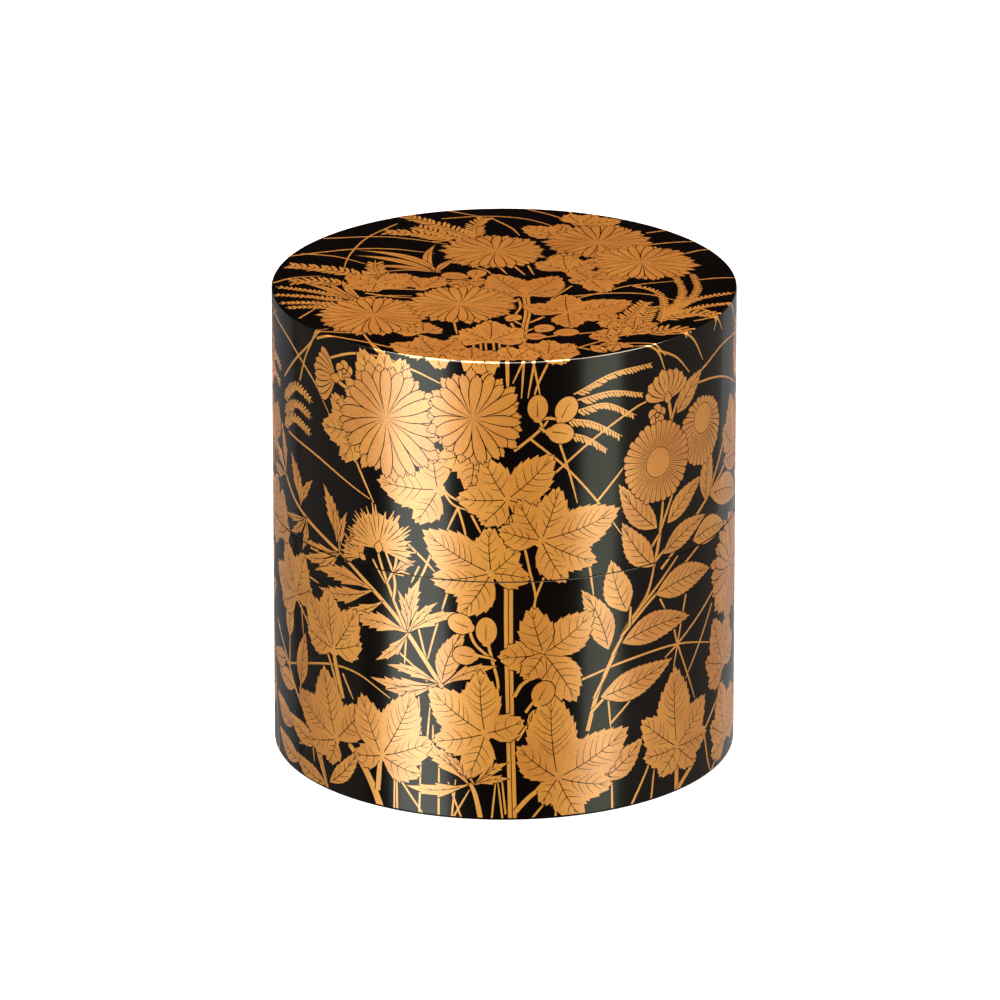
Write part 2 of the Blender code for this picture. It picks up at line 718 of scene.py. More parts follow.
@dataclass(frozen=True)
class FanFlower:
    """A half-open flower seen from the side.

    Attributes:
        at: Where its petals start.
        radius: Length of the petals.
        heading: Direction it opens in, in degrees.
        spread: Angle from its middle to its outermost petals, in degrees.
        petals: Number of petals.
    """

    at: complex
    radius: float
    heading: float
    spread: float
    petals: int = 8

    def draw(self, drawing: Drawing) -> None:
        """Paints the flower.

        Args:
            drawing: Where it is painted.
        """
        dice = drawing.begin(Plant.FLOWERS, self.at)
        turns = np.linspace(-1, 1, self.petals)
        order = sorted(range(self.petals), key=lambda k: -abs(turns[k]))
        width = 2.1 * self.radius * math.radians(self.spread) / self.petals + 0.25
        petals = []
        for k in order:
            angle = math.radians(self.heading + self.spread * turns[k])
            length = self.radius * dice.uniform(0.94, 1.06)
            petals.append(Petal(self.at, self.at + cmath.rect(length, angle), width))
        for petal in petals:
            drawing.bare(petal.outline(HALO))
        for petal in petals:
            drawing.edged(petal, PETAL_GAP)
            line = np.array([petal.place(share, 0) for share in (0.45, 0.6, 0.8)])
            drawing.vein(line, VEIN * 0.6)
        away = polar(1, self.heading)
        cup = Blade(
            self.at - away * self.radius * 0.16,
            self.at + away * self.radius * 0.22,
            self.radius * 0.28,
            teeth=3,
            depth=0.1,
        )
        drawing.edged(cup, PETAL_GAP)


@dataclass(frozen=True)
class FringedFlower:
    """A broad flower head of many slim rays that end in fine teeth.

    Attributes:
        at: Where its rays start.
        radius: Length of the middle rays.
        heading: Direction it opens in, in degrees.
        spread: Angle from its middle to its outermost rays, in degrees.
        rays: Number of rays.
    """

    at: complex
    radius: float
    heading: float
    spread: float
    rays: int = 19

    def draw(self, drawing: Drawing) -> None:
        """Paints the flower.

        Args:
            drawing: Where it is painted.
        """
        dice = drawing.begin(Plant.FLOWERS, self.at)
        turns = np.linspace(-1, 1, self.rays)
        order = sorted(range(self.rays), key=lambda k: -abs(turns[k]))
        spikes = []
        for k in order:
            angle = self.heading + self.spread * turns[k]
            length = self.radius * (1 - 0.12 * abs(turns[k]))
            for turn in (-2.6, 2.6):
                reach = length * dice.uniform(0.82, 1.07)
                way = angle + turn * 1.2 + dice.uniform(-4, 4)
                tip = self.at + polar(reach, way)
                middle = self.at + polar(length * 0.6, angle + turn)
                spikes.append((middle, tip))
        widest = math.radians(self.spread) * 1.04
        wavers = [dice.uniform(-0.09, 0.09) for _ in range(30)]
        middle_way = math.radians(self.heading)
        for grow, paint in ((HALO, drawing.bare), (0.0, drawing.gold)):
            for middle, tip in spikes:
                way = (tip - middle) / abs(tip - middle)
                path = np.array([middle, (middle + tip) / 2, tip + way * grow])
                paint(ribbon(path, (0.36 + 2 * grow, 0.32 + 2 * grow, 0.12 + grow)))
            rim = [self.at]
            for turn, waver in zip(np.linspace(-widest, widest, 30), wavers):
                reach = self.radius * (0.8 + waver - 0.1 * abs(turn) / widest) + grow
                rim.append(self.at + cmath.rect(reach, middle_way + turn))
            paint(np.array(rim))
        for k in range(self.rays - 1):
            angle = math.radians(self.heading + self.spread * (turns[k] + turns[k + 1]) / 2)
            inner, outer = dice.uniform(0.16, 0.55), dice.uniform(0.7, 0.9)
            ends = [self.at + cmath.rect(self.radius * share, angle) for share in (inner, outer)]
            drawing.bare(ribbon(np.array([ends[0], sum(ends) / 2, ends[1]]), (0.05, 0.15, 0.07)))
        cup = Blade(
            self.at - polar(0.7, self.heading),
            self.at + polar(self.radius * 0.16, self.heading),
            self.radius * 0.2,
            teeth=3,
            depth=0.1,
        )
        drawing.edged(cup, PETAL_GAP)


@dataclass(frozen=True)
class Bud:
    """A closed bud, an oval with a petal line and a small cup at its base.

    Attributes:
        at: Its middle.
        length: Its length.
        width: Its width.
        heading: Direction it points in, in degrees.
    """

    at: complex
    length: float
    width: float
    heading: float

    def draw(self, drawing: Drawing) -> None:
        """Paints the bud.

        Args:
            drawing: Where it is painted.
        """
        drawing.begin(Plant.FLOWERS, self.at)
        grown = 2 * HALO
        drawing.bare(oval(self.at, self.length + grown, self.width + grown, self.heading))
        drawing.gold(oval(self.at, self.length, self.width, self.heading))
        away = polar(1, self.heading)
        base = self.at - away * self.length * 0.48
        line = bent_line(base, self.at + away * 0.16j, self.at + away * self.length * 0.24, 5)
        drawing.vein(line, VEIN * 0.8)
        cup = oval(base + away * 0.05, self.width * 0.3, self.width * 0.42, self.heading, 10)
        drawing.gold(cup)


@dataclass(frozen=True)
class Rosette:
    """A small flower of five round petals.

    Attributes:
        at: Its middle.
        radius: Its outer radius.
    """

    at: complex
    radius: float

    def draw(self, drawing: Drawing) -> None:
        """Paints the flower.

        Args:
            drawing: Where it is painted.
        """
        drawing.begin(Plant.FLOWERS, self.at)
        places = [self.at + cmath.rect(self.radius * 0.55, 0.3 + math.tau * k / 5) for k in range(5)]
        size = self.radius * 0.95
        for place in places:
            drawing.bare(oval(place, size + 2 * HALO, size + 2 * HALO, 0, 12))
        for place in places:
            drawing.bare(oval(place, size + 2 * PETAL_GAP, size + 2 * PETAL_GAP, 0, 12))
            drawing.gold(oval(place, size, size, 0, 12))
        drawing.bare(oval(self.at, size * 0.7, size * 0.7, 0, 10))
        drawing.gold(oval(self.at, size * 0.45, size * 0.45, 0, 10))


@dataclass(frozen=True)
class Stem:
    """A stem or a blade of grass along a smooth line.

    Attributes:
        points: Points it passes through.
        width: Its width, which it keeps for most of its length.
        end: Width at its end.
        halo: Width of bare lacquer at each side, which parts it from what it crosses.
        lined: Whether a bare line runs along its middle.
    """

    points: Sequence[complex]
    width: float
    end: float = 0.14
    halo: float = 0.0
    lined: bool = False

    def draw(self, drawing: Drawing) -> None:
        """Paints the stem.

        Args:
            drawing: Where it is painted.
        """
        drawing.begin(Plant.GRASSES, self.points[0])
        path = line_through(self.points, 6)
        widths = np.array([self.width, self.width, self.width * 0.9, self.end])
        if self.halo:
            drawing.bare(ribbon(path, widths + 2 * self.halo))
        drawing.gold(ribbon(path, widths))
        if self.lined:
            drawing.bare(ribbon(path, (0.13, 0.13)))


@dataclass(frozen=True)
class Plume:
    """A drooping ear of grass with slanting grains along one or both sides of its stalk.

    Attributes:
        points: Points its stalk passes through.
        grain: Length of a grain.
        sides: 1 for grains to the left of the stalk, -1 to the right, 0 for both.
        spacing: Distance between grains.
        plump: Thickness of a grain.
    """

    points: Sequence[complex]
    grain: float
    sides: int
    spacing: float = 0.56
    plump: float = 0.36

    def draw(self, drawing: Drawing) -> None:
        """Paints the ear.

        Args:
            drawing: Where it is painted.
        """
        dice = drawing.begin(Plant.GRASSES, self.points[0])
        path = line_through(self.points, 8)
        drawing.gold(ribbon(path, (0.24, 0.24, 0.2, 0.1)))
        lengths = np.append(0, np.cumsum(np.abs(np.diff(path))))
        total = float(lengths[-1])
        for count in range(int(total * 0.96 / self.spacing)):
            far = total * 0.04 + self.spacing * count
            at = complex(np.interp(far, lengths, path.real), np.interp(far, lengths, path.imag))
            ahead = complex(
                np.interp(far + 0.3, lengths, path.real), np.interp(far + 0.3, lengths, path.imag)
            )
            heading = cmath.phase(ahead - at) if far + 0.3 < total else heading
            size = self.grain * (1.1 - 0.42 * far / total) * dice.uniform(0.88, 1.12)
            for side in (1, -1) if self.sides == 0 else (self.sides,):
                lean = heading + side * math.radians(dice.uniform(38, 50))
                middle = at + cmath.rect(size * 0.52, lean)
                drawing.gold(oval(middle, size, self.plump, math.degrees(lean), 8))


# Anything that can be painted
Motif = Leaf | LanceLeaf | LobedLeaf | Chrysanthemum | Daisy | FanFlower | FringedFlower | Bud
Motif = Motif | Rosette | Stem | Plume

# Width of a twig at its end, and of the bare lacquer at each side of it, in millimetres
TWIG_END = 0.3
TWIG_HALO = HALO * 0.8

# Bend of a narrow leaf as a share of its length, and the widths in millimetres over which it has
# one tooth more
LANCE_BOW = 0.07
LANCE_WIDTHS = (1.3, 2.1)

# One row of a table of plants, in which a place takes two numbers
Row = Sequence[float]


def points_of(numbers: Row) -> list[complex]:
    """The places that follow one another in a row."""
    return [complex(x, y) for x, y in zip(numbers[::2], numbers[1::2])]


def grasses(rows: Sequence[Row]) -> list[Stem]:
    """Thin stems from rows of a width and the points they pass through."""
    return [Stem(points_of(points), width) for width, *points in rows]


def twigs(rows: Sequence[Row]) -> list[Stem]:
    """Twigs from rows of a width and the points they pass through."""
    return [Stem(points_of(points), width, TWIG_END, TWIG_HALO) for width, *points in rows]


def stalks(rows: Sequence[Row]) -> list[Stem]:
    """Stalks that carry flowers and leaves.

    Args:
        rows: For each its width, its width at the end and its points, the main stalk first.

    Returns:
        The stalks, of which the main one has a line along its middle.
    """
    made = []
    for width, end, *points in rows:
        made.append(Stem(points_of(points), width, end, HALO, lined=not made))
    return made


def ears(rows: Sequence[Row], *looks: float) -> list[Plume]:
    """Ears of one kind from rows of points, and the other values of a plume in order."""
    return [Plume(points_of(row), *looks) for row in rows]


def leaves(rows: Sequence[Row]) -> list[Leaf]:
    """Single leaves from rows of a base, a tip, a width and a bow."""
    return [Leaf(*points_of(row[:4]), *row[4:]) for row in rows]


def lobed(rows: Sequence[Row]) -> list[LobedLeaf]:
    """Broad lobed leaves.

    Args:
        rows: For each its place, its breadth, and the direction and length of each lobe.

    Returns:
        The leaves.
    """
    made = []
    for x, y, breadth, *lobes in rows:
        made.append(LobedLeaf(complex(x, y), list(zip(lobes[::2], lobes[1::2])), breadth))
    return made


def lances(rows: Sequence[Row]) -> list[LanceLeaf]:
    """Narrow leaves that spread from the nodes of a twig.

    Args:
        rows: For each node its place, and the tip and the width of each leaf there.

    Returns:
        The leaves, each bent by where it points, and with more teeth the wider it is.
    """
    made = []
    for x, y, *parts in rows:
        for right, up, width in zip(parts[::3], parts[1::3], parts[2::3]):
            bow = LANCE_BOW if (right - x) * (up - y) > 0 else -LANCE_BOW
            teeth = 1 + sum(width > limit for limit in LANCE_WIDTHS)
            made.append(LanceLeaf(complex(x, y), complex(right, up), width, teeth, bow))
    return made


# The tables that start with SIDE and END are for the unrolled side. The first number of a place
# there is the distance round the caddy to the right of its front, and the second is the height.
# END is for what grows where the front half and the back half meet. The tables that start with
# TOP are for the round top, whose places are to the right of its middle and away from the front.
# Tables of one kind have the same columns, which are named at the first.

# Grasses behind everything else: width, then the points
SIDE_GRASSES = (
    (0.33, -38.7, 51.2, -30, 50, -20, 46.3), (0.33, -22.6, 51.7, -19.4, 45.9),
    (0.33, -48, 67, -40, 65.6, -35.5, 63.8, -31, 61, -27.8, 57.3),
    (0.35, -40.2, 59, -36, 63, -32.5, 66, -28.6, 70.2),
    (0.32, -34.9, 60, -33.3, 64, -31.5, 67, -29.9, 70.4),
    (0.36, -27.7, 65.5, -22.8, 67.4, -17, 68),
    (0.33, -21.5, 70.6, -18.5, 68.5, -15.6, 67.4, -12, 66.4, -8, 64.8),
    (0.32, 4.8, 50.1, 12.6, 56.4, 19.6, 60.1, 24, 60.7),
    (0.33, 3.6, 57.4, 8.7, 52.8, 13.3, 47.3, 17.5, 41.2), (0.33, 7.8, 56.5, 9.2, 52, 10.4, 47.3),
    (0.33, 13.5, 47.3, 17.8, 51.8), (0.4, 1.4, 55.6, 5, 58.6, 6.6, 60.6),
    (0.32, 30.5, 61.2, 34, 62.6, 40, 64, 49, 63), (0.32, 31, 60.7, 36, 60.1, 41, 58.6, 48, 55.3),
    (0.32, 18, 70.2, 22.9, 68, 24.8, 64.4), (0.32, 23.2, 67.8, 27, 65.8, 29.9, 62.8),
    (0.33, 26.5, 70.6, 30.8, 67.4, 33.2, 63.7), (0.33, 34, 70.6, 37.7, 68.4, 39.4, 66.2),
    (0.33, 42, 70.4, 46, 66, 49, 60), (0.55, 0.4, 71, 0.5, 64), (0.32, 3.6, 71, 1.2, 65.6),
    (0.32, 2.9, 71, 2.4, 63.4), (0.33, 4.6, 71, 3.3, 63.4), (0.33, 3.6, 71, 5.1, 63.4),
    (0.33, 7.4, 71, 4.9, 65.8, 4, 63), (0.36, 2.9, 41, 3.6, 37.6, 4.4, 33.3, 3, 30.4),
    (0.32, 5.6, 36.6, 4.4, 33.4, 4.3, 31), (0.33, 12.1, 38.6, 12.9, 33),
    (0.32, 10, 20.4, 18, 22.4, 27.5, 22.6, 38, 19.6), (0.32, 37, 28, 27.6, 22.6, 25, 21.2),
    (0.32, 26.9, 25, 27.6, 22.6, 29.9, 17.3, 31.7, 13.1),
    (0.32, 28.4, 25.8, 27.6, 22.6, 26.6, 18.3), (0.35, 29.4, 29.6, 28.4, 25.8),
    (0.33, 36.4, 26, 32.2, 20.4, 29.4, 16.8), (0.32, 24, 30.4, 25, 28.6),
    (0.28, -16.2, 0, -16.1, 6.4), (0.28, -15.7, 0, -15.8, 6.4), (0.28, -12.3, 0, -12, 9),
    (0.28, -9.4, 0, -9.3, 9.4), (0.29, -7.5, 0, -6.9, 6), (0.28, -6, 0, -8, 5.6),
    (0.28, -7.4, 0, -4.9, 4.6), (0.28, -15.4, 5.2, -11.5, 0), (0.28, -11.2, 10, -10.6, 17),
    (0.28, -12, 11.4, -12.3, 18), (0.28, -10.2, 10.4, -10.2, 14), (0.32, 15.9, 0, 15.8, 5.2),
    (0.29, 15.2, 17.2, 15.6, 12.6), (0.33, 15.6, 13.4, 19.4, 16.8), (0.33, 22.5, 0, 23.1, 5),
    (0.36, 18.9, 0, 21.4, 4.4, 22.6, 7), (0.35, 34.3, 7, 35.3, 2.8, 36.4, 0),
    (0.35, 34.2, 7.2, 38, 10.4, 41, 12.6), (0.32, 36.4, 0.2, 40, 3), (0.29, 33, 10.8, 34.6, 5.6),
    (0.32, 3.7, 0, 6.6, 3.6), (0.32, 7.4, 0, 7.2, 2), (0.28, -1.8, 0, -1.2, 6),
    (0.28, -0.2, 0, -0.9, 6), (0.28, 0.2, 1, -0.4, 7), (0.32, -37, 27.4, -34.2, 25.2, -31.8, 22.8),
    (0.29, -34.9, 26.2, -34.3, 21.8), (0.32, -33.6, 31.4, -30.2, 31),
    (0.32, -40, 15.6, -33, 18, -27, 19.6, -22, 19.4, -16.8, 17), (0.33, -25.2, 18.8, -23.2, 15.4),
    (0.28, -35.8, 4.9, -33, 5.6, -30.8, 6.6), (0.28, -32.3, 8.6, -31.6, 3.4),
    (0.32, -8, 34.2, -8.9, 31.2), (0.29, -9.2, 30.4, -10.3, 26.4, -11, 23.6),
    (0.29, -12.4, 28.6, -11.4, 24.6, -10.6, 22), (0.3, -14.2, 27, -14.5, 22.2),
    (0.28, -16.4, 25, -13, 22.4, -11, 20.4), (0.32, -9.2, 50.2, -7.6, 48.6, -5.4, 47.6),
    (0.32, -8.6, 49.2, -7.2, 47.4, -5, 46.6), (0.33, -6.5, 47, -8.1, 43.4),
    (0.33, -6.6, 47.2, -5.8, 44.6, -5.1, 41.4), (0.33, -4.6, 46, -3, 42.8),
    (0.32, -14.2, 41, -11.4, 38.6, -9.8, 37), (0.33, -10.2, 40.4, -11.3, 37.4, -13, 33.4, -14, 28),
    (0.29, -12.2, 37.6, -13.4, 35), (0.29, -19.6, 37.4, -17.5, 34.2), (0.32, 8.8, 22.6, 7.3, 20.6),
    (0.29, 8.2, 18.2, 9.9, 19.6),
)

# Drooping ears: the points of each stalk
SIDE_EARS_RIGHT = (
    (9.8, 63.5, 15.6, 65.8, 22.3, 66.1), (10.4, 62.6, 15.6, 63.2, 20.8, 61.9),
    (10, 61, 14.8, 61.5, 19.6, 58.9), (8.6, 60, 12.8, 59, 17.3, 56.2),
    (9.4, 57.8, 12, 56.8, 15, 54.6),
)

SIDE_EARS_LEFT = (
    (-40.4, 55.6, -36, 58.8, -31.4, 57.8), (-40.2, 53.6, -36, 56.2, -31.6, 55.4),
    (-40.4, 51.6, -36.6, 53.9, -31.8, 52.9), (-50, 57.6, -45.4, 60.4, -41.6, 59.4),
    (-51, 55, -46.4, 57.8, -42, 57),
)

# Stalks: width, width at the end, then the points
SIDE_STALKS = (
    (1.25, 1.25, 0.7, 46, 0.6, 30, 0.8, 17, 1.2, -1), (0.7, 0.5, -3.1, -1, -4, 3.5, -4.8, 5.6),
    (0.7, 0.5, 1.6, 1.4, 3.6, 3.6, 6, 5.4), (1.1, 0.7, -18, -1, -19.6, 2.8, -21.6, 6, -24, 8.4),
    (0.8, 0.6, -18.9, 2.6, -18.4, 8.4), (0.75, 0.5, -28.2, -1, -29.5, 3, -30.8, 6.6),
    (0.8, 0.6, 27.5, -1, 27.6, 7), (0.7, 0.5, 27.6, 0.2, 29.4, 1.8, 31.6, 3.4),
    (0.8, 0.6, -25.2, 15, -26.4, 19, -27.2, 22.4), (0.4, 0.3, -26, 15.6, -27.6, 19.6, -28.8, 21.8),
)

# Twigs: width, then the points
SIDE_THIN_STALKS = (
    (0.62, -8.8, 19.8, -13.9, 27.2, -17.6, 31.2, -22.4, 34.9, -25.6, 36.9),
    (0.5, -25.6, 36.9, -30, 38.7, -33.4, 40, -37, 41.8, -41.4, 45.6),
    (0.42, -14.4, 28.2, -16.2, 32, -18.2, 37, -18.9, 39.6),
    (0.4, -16.2, 31.8, -16, 35, -17.6, 39.4), (0.4, -15.6, 40, -15.9, 37, -17.2, 34.4),
    (0.6, 12, 12.8, 13.4, 18, 15.6, 22.8, 18.2, 27.6, 21.6, 31.6, 23, 36),
    (0.55, 23, 36, 23.9, 40, 24.6, 46), (0.45, 15.8, 23.6, 19.2, 28.7, 23.2, 32.2, 27.6, 36),
    (0.42, 17.2, 26.2, 22, 30.4, 27, 33.3, 32.4, 36), (0.42, 18.6, 27.4, 18.8, 30.4),
    (0.42, 12.6, 15.6, 15, 17.8), (0.42, 14.6, 20.6, 12.9, 17.6), (0.42, 24.2, 41, 26.8, 46.4),
    (0.42, 22.4, 38.6, 24, 40.4), (0.42, 23.2, 36.4, 25.2, 37.8),
    (0.45, 24.2, 34.8, 29, 38.6, 32.2, 41, 36, 43.2, 41, 45.6, 48, 49),
    (0.45, 34.4, 42.2, 38.4, 46.8, 44, 54), (0.55, 25.5, 60, 26.4, 55),
    (0.45, 26.2, 57, 27.4, 59.4, 29, 60.6), (0.45, 23.4, 58, 23.2, 55),
    (0.5, -26.6, 62.8, -23.8, 61.9, -20.6, 61.6), (0.42, -24.6, 63.6, -23.4, 62.2),
    (0.45, -2.3, 27, -1.7, 24.4, -0.9, 21, -0.8, 17.6),
    (0.42, -5.2, 30, -4.3, 27, -2.6, 25.2, -1.2, 24.2), (0.42, -5, 25.2, -3.4, 24.9, -1.8, 24.6),
    (0.5, 1.4, 18.8, 2.8, 20.9, 5.4, 21.7, 7.6, 21.2), (0.4, 3, 16.4, 4.4, 18.4),
    (0.42, 1.8, 12.2, 3.2, 14.4), (0.45, 4.3, 60, 5.8, 60.3, 8, 60), (0.45, 5.6, 58.2, 5, 60),
    (0.45, -27.8, -1, -31, 5.4, -33.8, 9.6, -37, 12.9, -40.6, 17, -45, 20.6),
    (0.4, -39, 15.4, -38.8, 20.4), (0.4, -35.6, 11.4, -35.2, 14.4), (0.4, 6.3, 57.9, 4.9, 59),
)

# Narrow leaves: node, then the tip and the width of each
SIDE_LANCES = (
    (-25.7, 36.9, -34, 36.6, 1.7, -34.2, 34, 1.9, -31, 32.8, 1.6, -24.3, 43.2, 1.5),
    (-26.3, 38.4, -28.9, 46.2, 2.3, -26.7, 43.2, 1.5),
    (-33.2, 40, -40.4, 38.7, 1.2, -38, 36.4, 1.5, -34.4, 34.8, 1.4),
    (-34.9, 41.2, -31.7, 46, 1.5, -37.8, 48.2, 2.4, -35.4, 45.4, 1.6),
    (-40, 44.4, -46, 44, 1.8, -45.6, 47.6, 1.8, -41.6, 51.4, 1.8),
    (-19.6, 32.7, -30.4, 33.2, 2.6, -30, 30.4, 2.4), (-17.9, 31.4, -25.4, 28.2, 1.8),
    (-13.9, 27.4, -12.1, 35.6, 2.4, -15.4, 33.4, 1.5, -6.6, 31.2, 1.9, -23.4, 27.6, 2.7,
     -19, 22.4, 1.7, -9.6, 32.4, 1.4),
    (-9.4, 20.3, -19.8, 19.5, 2.4, -17, 22, 1.7, -17.4, 18.2, 1.6), (-8.6, 20.2, -1.2, 23.4, 2),
    (-5, 5.4, -12.6, 11, 2.6, -14, 4.2, 2),
    (-4.2, 5.4, 0.4, 8.8, 1.7, 0.6, 6.4, 1.4, -8.4, 9.6, 1.5),
    (-16.2, 35.8, -12.8, 38.3, 1.4, -13.6, 36.2, 1),
)

# Single leaves: base, tip, width, bow
SIDE_LEAVES = (
    (23.4, 41.2, 16.9, 48.9, 3.7, 0.06), (25.4, 41.4, 32.9, 46.3, 3.2, 0.05),
    (22.8, 35.6, 17.4, 43.1, 3.9, 0.06), (24.6, 37, 34, 40.2, 3.3, 0.06),
    (18.2, 29.8, 15.6, 37.8, 4.4, 0.05), (31, 37.2, 40.6, 36.6, 3.9, 0.08),
    (23.2, 31.2, 35.4, 31.7, 4.4, 0.06), (15.2, 24.6, 11.2, 34, 3.9, -0.06),
    (17.4, 25.2, 30, 26.2, 4.3, 0.07), (14, 17.6, 26.2, 20.7, 4.4, -0.02),
    (14.2, 5, 20.8, 10, 3.9, -0.05), (34.3, 42.2, 35.6, 50.2, 3.5, 0.05),
    (35.6, 42.6, 48.4, 38.6, 4.6, 0.07), (40.4, 46, 51, 43.6, 4.2, 0.05),
    (27.2, 57.4, 32.8, 62.3, 3.1, 0.04), (-8.9, 20.4, -5.6, 28.8, 3.3, 0.06),
    (-38.9, 20, -38.3, 26.6, 2.8, 0.03), (-35.1, 14, -33.8, 22.2, 3.1, 0.03),
    (-37.3, 12.7, -43.8, 13.4, 3, -0.05), (-40, 16.4, -47.4, 15, 2.8, 0.05),
    (-31, 6.2, -39, 8.4, 3, 0.05), (-29, 0.8, -36.9, 3.1, 2.9, 0.06),
    (-28, 1.4, -22.2, 7.8, 2.5, -0.06), (-38, 6.6, -45, 9.6, 3.2, 0.05),
    (-36, 2, -44, 4.4, 3, 0.05), (3.2, 14.4, 6.8, 16.6, 2.4, 0.05),
)

# Lobed leaves: place, breadth, then the direction and the length of each lobe
SIDE_LOBED_LEAVES = (
    (-9.4, 71.2, 0.5, -84, 3.9, -124, 3, -50, 3),
    (-3.2, 71.2, 0.5, -76, 4.8, -112, 4.6, -40, 3.4, -146, 3.2),
    (7.6, 70.6, 0.5, -66, 2.6, -122, 2.6), (-22, 56, 0.4, 186, 7.2, 238, 5.8, 140, 6.6),
    (-17.6, 61.6, 0.4, 121, 7.8, 62, 7.2, 90, 7), (-9.4, 49.4, 0.42, 96, 6.2, 180, 9.2, 238, 6.2),
    (-4.2, 55.6, 0.46, 150, 5.2, 200, 5.4, 264, 6),
    (-36.4, 27.2, 0.4, 205, 6, 165, 8.2, 118, 8, 72, 7.4, 28, 5),
    (-42.6, 34.4, 0.4, 180, 6.6, 130, 7.2, 80, 7, 30, 4.4),
    (-45.4, 47.6, 0.4, 190, 6.8, 130, 7.2, 75, 6.4),
    (-27, 22, 0.4, 166, 6.2, 22, 5.8, 132, 9, 58, 8.2, 98, 8.8),
    (-26.6, 8.4, 0.38, 250, 4.2, 196, 6.6, 50, 8.6, 152, 10.2, 104, 10.6),
    (-18.2, 8, 0.38, 190, 4.8, -18, 6.4, 112, 9.2, 24, 8.6, 64, 11.6),
    (-1.8, 37.4, 0.4, 350, 5.4, 44, 5.2, 236, 8, 190, 8.6, 92, 6.8, 150, 11.2),
    (0.4, 48.4, 0.42, 338, 5.8, 226, 5.2, 180, 7, 118, 6.8, 44, 9),
    (5.2, 42.2, 0.36, 164, 6.2, 118, 6.8, -62, 7.4, -27, 9, 16, 12, 72, 8),
    (-2.7, 13.2, 0.4, 20, 5.8, 250, 7.2, 192, 7.6, 142, 10.2, 94, 9.4),
    (27.6, 7, 0.4, 226, 5, -40, 5.6, 181, 6.4, 1, 7.2, 140, 8.8, 40, 8.8, 92, 12),
    (40.6, 15.4, 0.4, 200, 5.4, 160, 6.4, 115, 8.6, 70, 7.6, 25, 6.4),
    (42, 4, 0.4, 195, 5.6, 150, 6.6, 105, 9, 60, 7.8, 15, 6.4),
    (45, 47, 0.4, 140, 6.4, 100, 8.2, 60, 7.8, 20, 6.4),
    (7.6, 6.2, 0.4, -120, 4.4, -62, 7.4, -14, 8.4, 139, 7.6, 29, 12.2, 94, 13),
)

END_GRASSES = (
    (0.33, -59.6, 0.6, -57.4, 16, -53, 31, -47.6, 39.4),
    (0.33, -44.6, 0.4, -48.2, 16, -52.6, 30, -58.6, 41),
    (0.33, -60.6, 44, -56, 55, -49.6, 64, -44.6, 67.4),
    (0.33, -43.6, 43, -48, 53, -55, 64.6, -60.4, 67.4), (0.33, -56.6, 0.6, -57.6, 12, -61, 24),
    (0.33, 58.6, 0.6, 56, 18, 51.4, 36), (0.33, 46.8, 36.4, 50, 50, 56, 61, 62, 66.4),
    (0.33, 58.2, 38.6, 54, 54, 47.6, 66.6), (0.33, 61.4, 50, 56.6, 59, 53, 67.4),
    (0.33, 47.4, 0.6, 50.4, 10, 55.6, 21),
)

END_STALKS = (
    (0.9, 0.6, -51.4, -1, -52.6, 12, -51.4, 26, -52.2, 40, -52.4, 56),
    (0.45, 0.3, -52.2, 15, -54.6, 19.6, -56.2, 24), (0.45, 0.3, -51.8, 30, -49, 33.4, -47.6, 36),
    (0.45, 0.3, -51.9, 33, -55, 39.4, -57.2, 44), (0.8, 0.5, 52.6, -1, 51.6, 9, 52.4, 19),
    (0.7, 0.5, 51.2, 38, 52.8, 47, 51.8, 57), (0.42, 0.3, 52.4, 43.6, 55.4, 47.6, 57.2, 52.6),
    (0.42, 0.3, 52, 4.6, 55.2, 8.6, 57.4, 11.6), (0.7, 0.5, 63, -1, 61.4, 12, 62.6, 24, 61.4, 32),
    (0.6, 0.4, 60.2, 34, 63.4, 44, 65.4, 54), (0.7, 0.5, -61.4, -1, -62.4, 4, -61.6, 10),
    (0.6, 0.4, -61.4, 32, -65, 42, -64, 55),
)

END_LOBED_LEAVES = (
    (-52.2, 7.4, 0.4, 205, 5.2, 155, 7.4, 30, 6.8, 110, 8.6, 70, 8),
    (-56.4, 24, 0.4, 200, 4.6, 160, 6, 20, 5.4, 115, 8, 66, 7.2),
    (-47.4, 36, 0.4, -40, 4.4, 170, 5.2, 10, 6, 118, 6.8, 62, 7.4),
    (52, 4.8, 0.4, 190, 5, 140, 6.8, -4, 5.4, 46, 7.4, 94, 8.4),
    (53.4, 41.6, 0.4, 200, 4.4, 150, 6.2, -30, 5, 20, 6.2, 84, 8),
    (61.6, 31, 0.4, 190, 6.6, 140, 8.2, 96, 9.4, 48, 8.4, 0, 6.6),
    (71.4, 48.6, 0.4, 205, 6, 155, 7.4, 104, 8.8, 52, 7.6, -10, 6),
    (-66.4, 43.4, 0.4, 215, 5.6, 165, 7.4, 112, 7.8, 60, 7, 8, 5.8),
)

END_LEAVES = (
    (-51.8, 21.6, -45.8, 25.8, 3.2, 0.04), (-51.2, 26, -47.2, 31.4, 3, 0.04),
    (-52.2, 42, -46.2, 46.6, 3.3, -0.06), (-52.4, 46.6, -58.6, 51.4, 3.3, 0.06),
    (-52.4, 49.6, -46.8, 53.8, 3.1, -0.06), (52.4, 49, 46.8, 53, 3.2, 0.06),
    (52.2, 46.4, 47.4, 47.2, 2.8, 0.06), (56.6, 50.6, 61.6, 53.6, 2.9, 0.05),
)

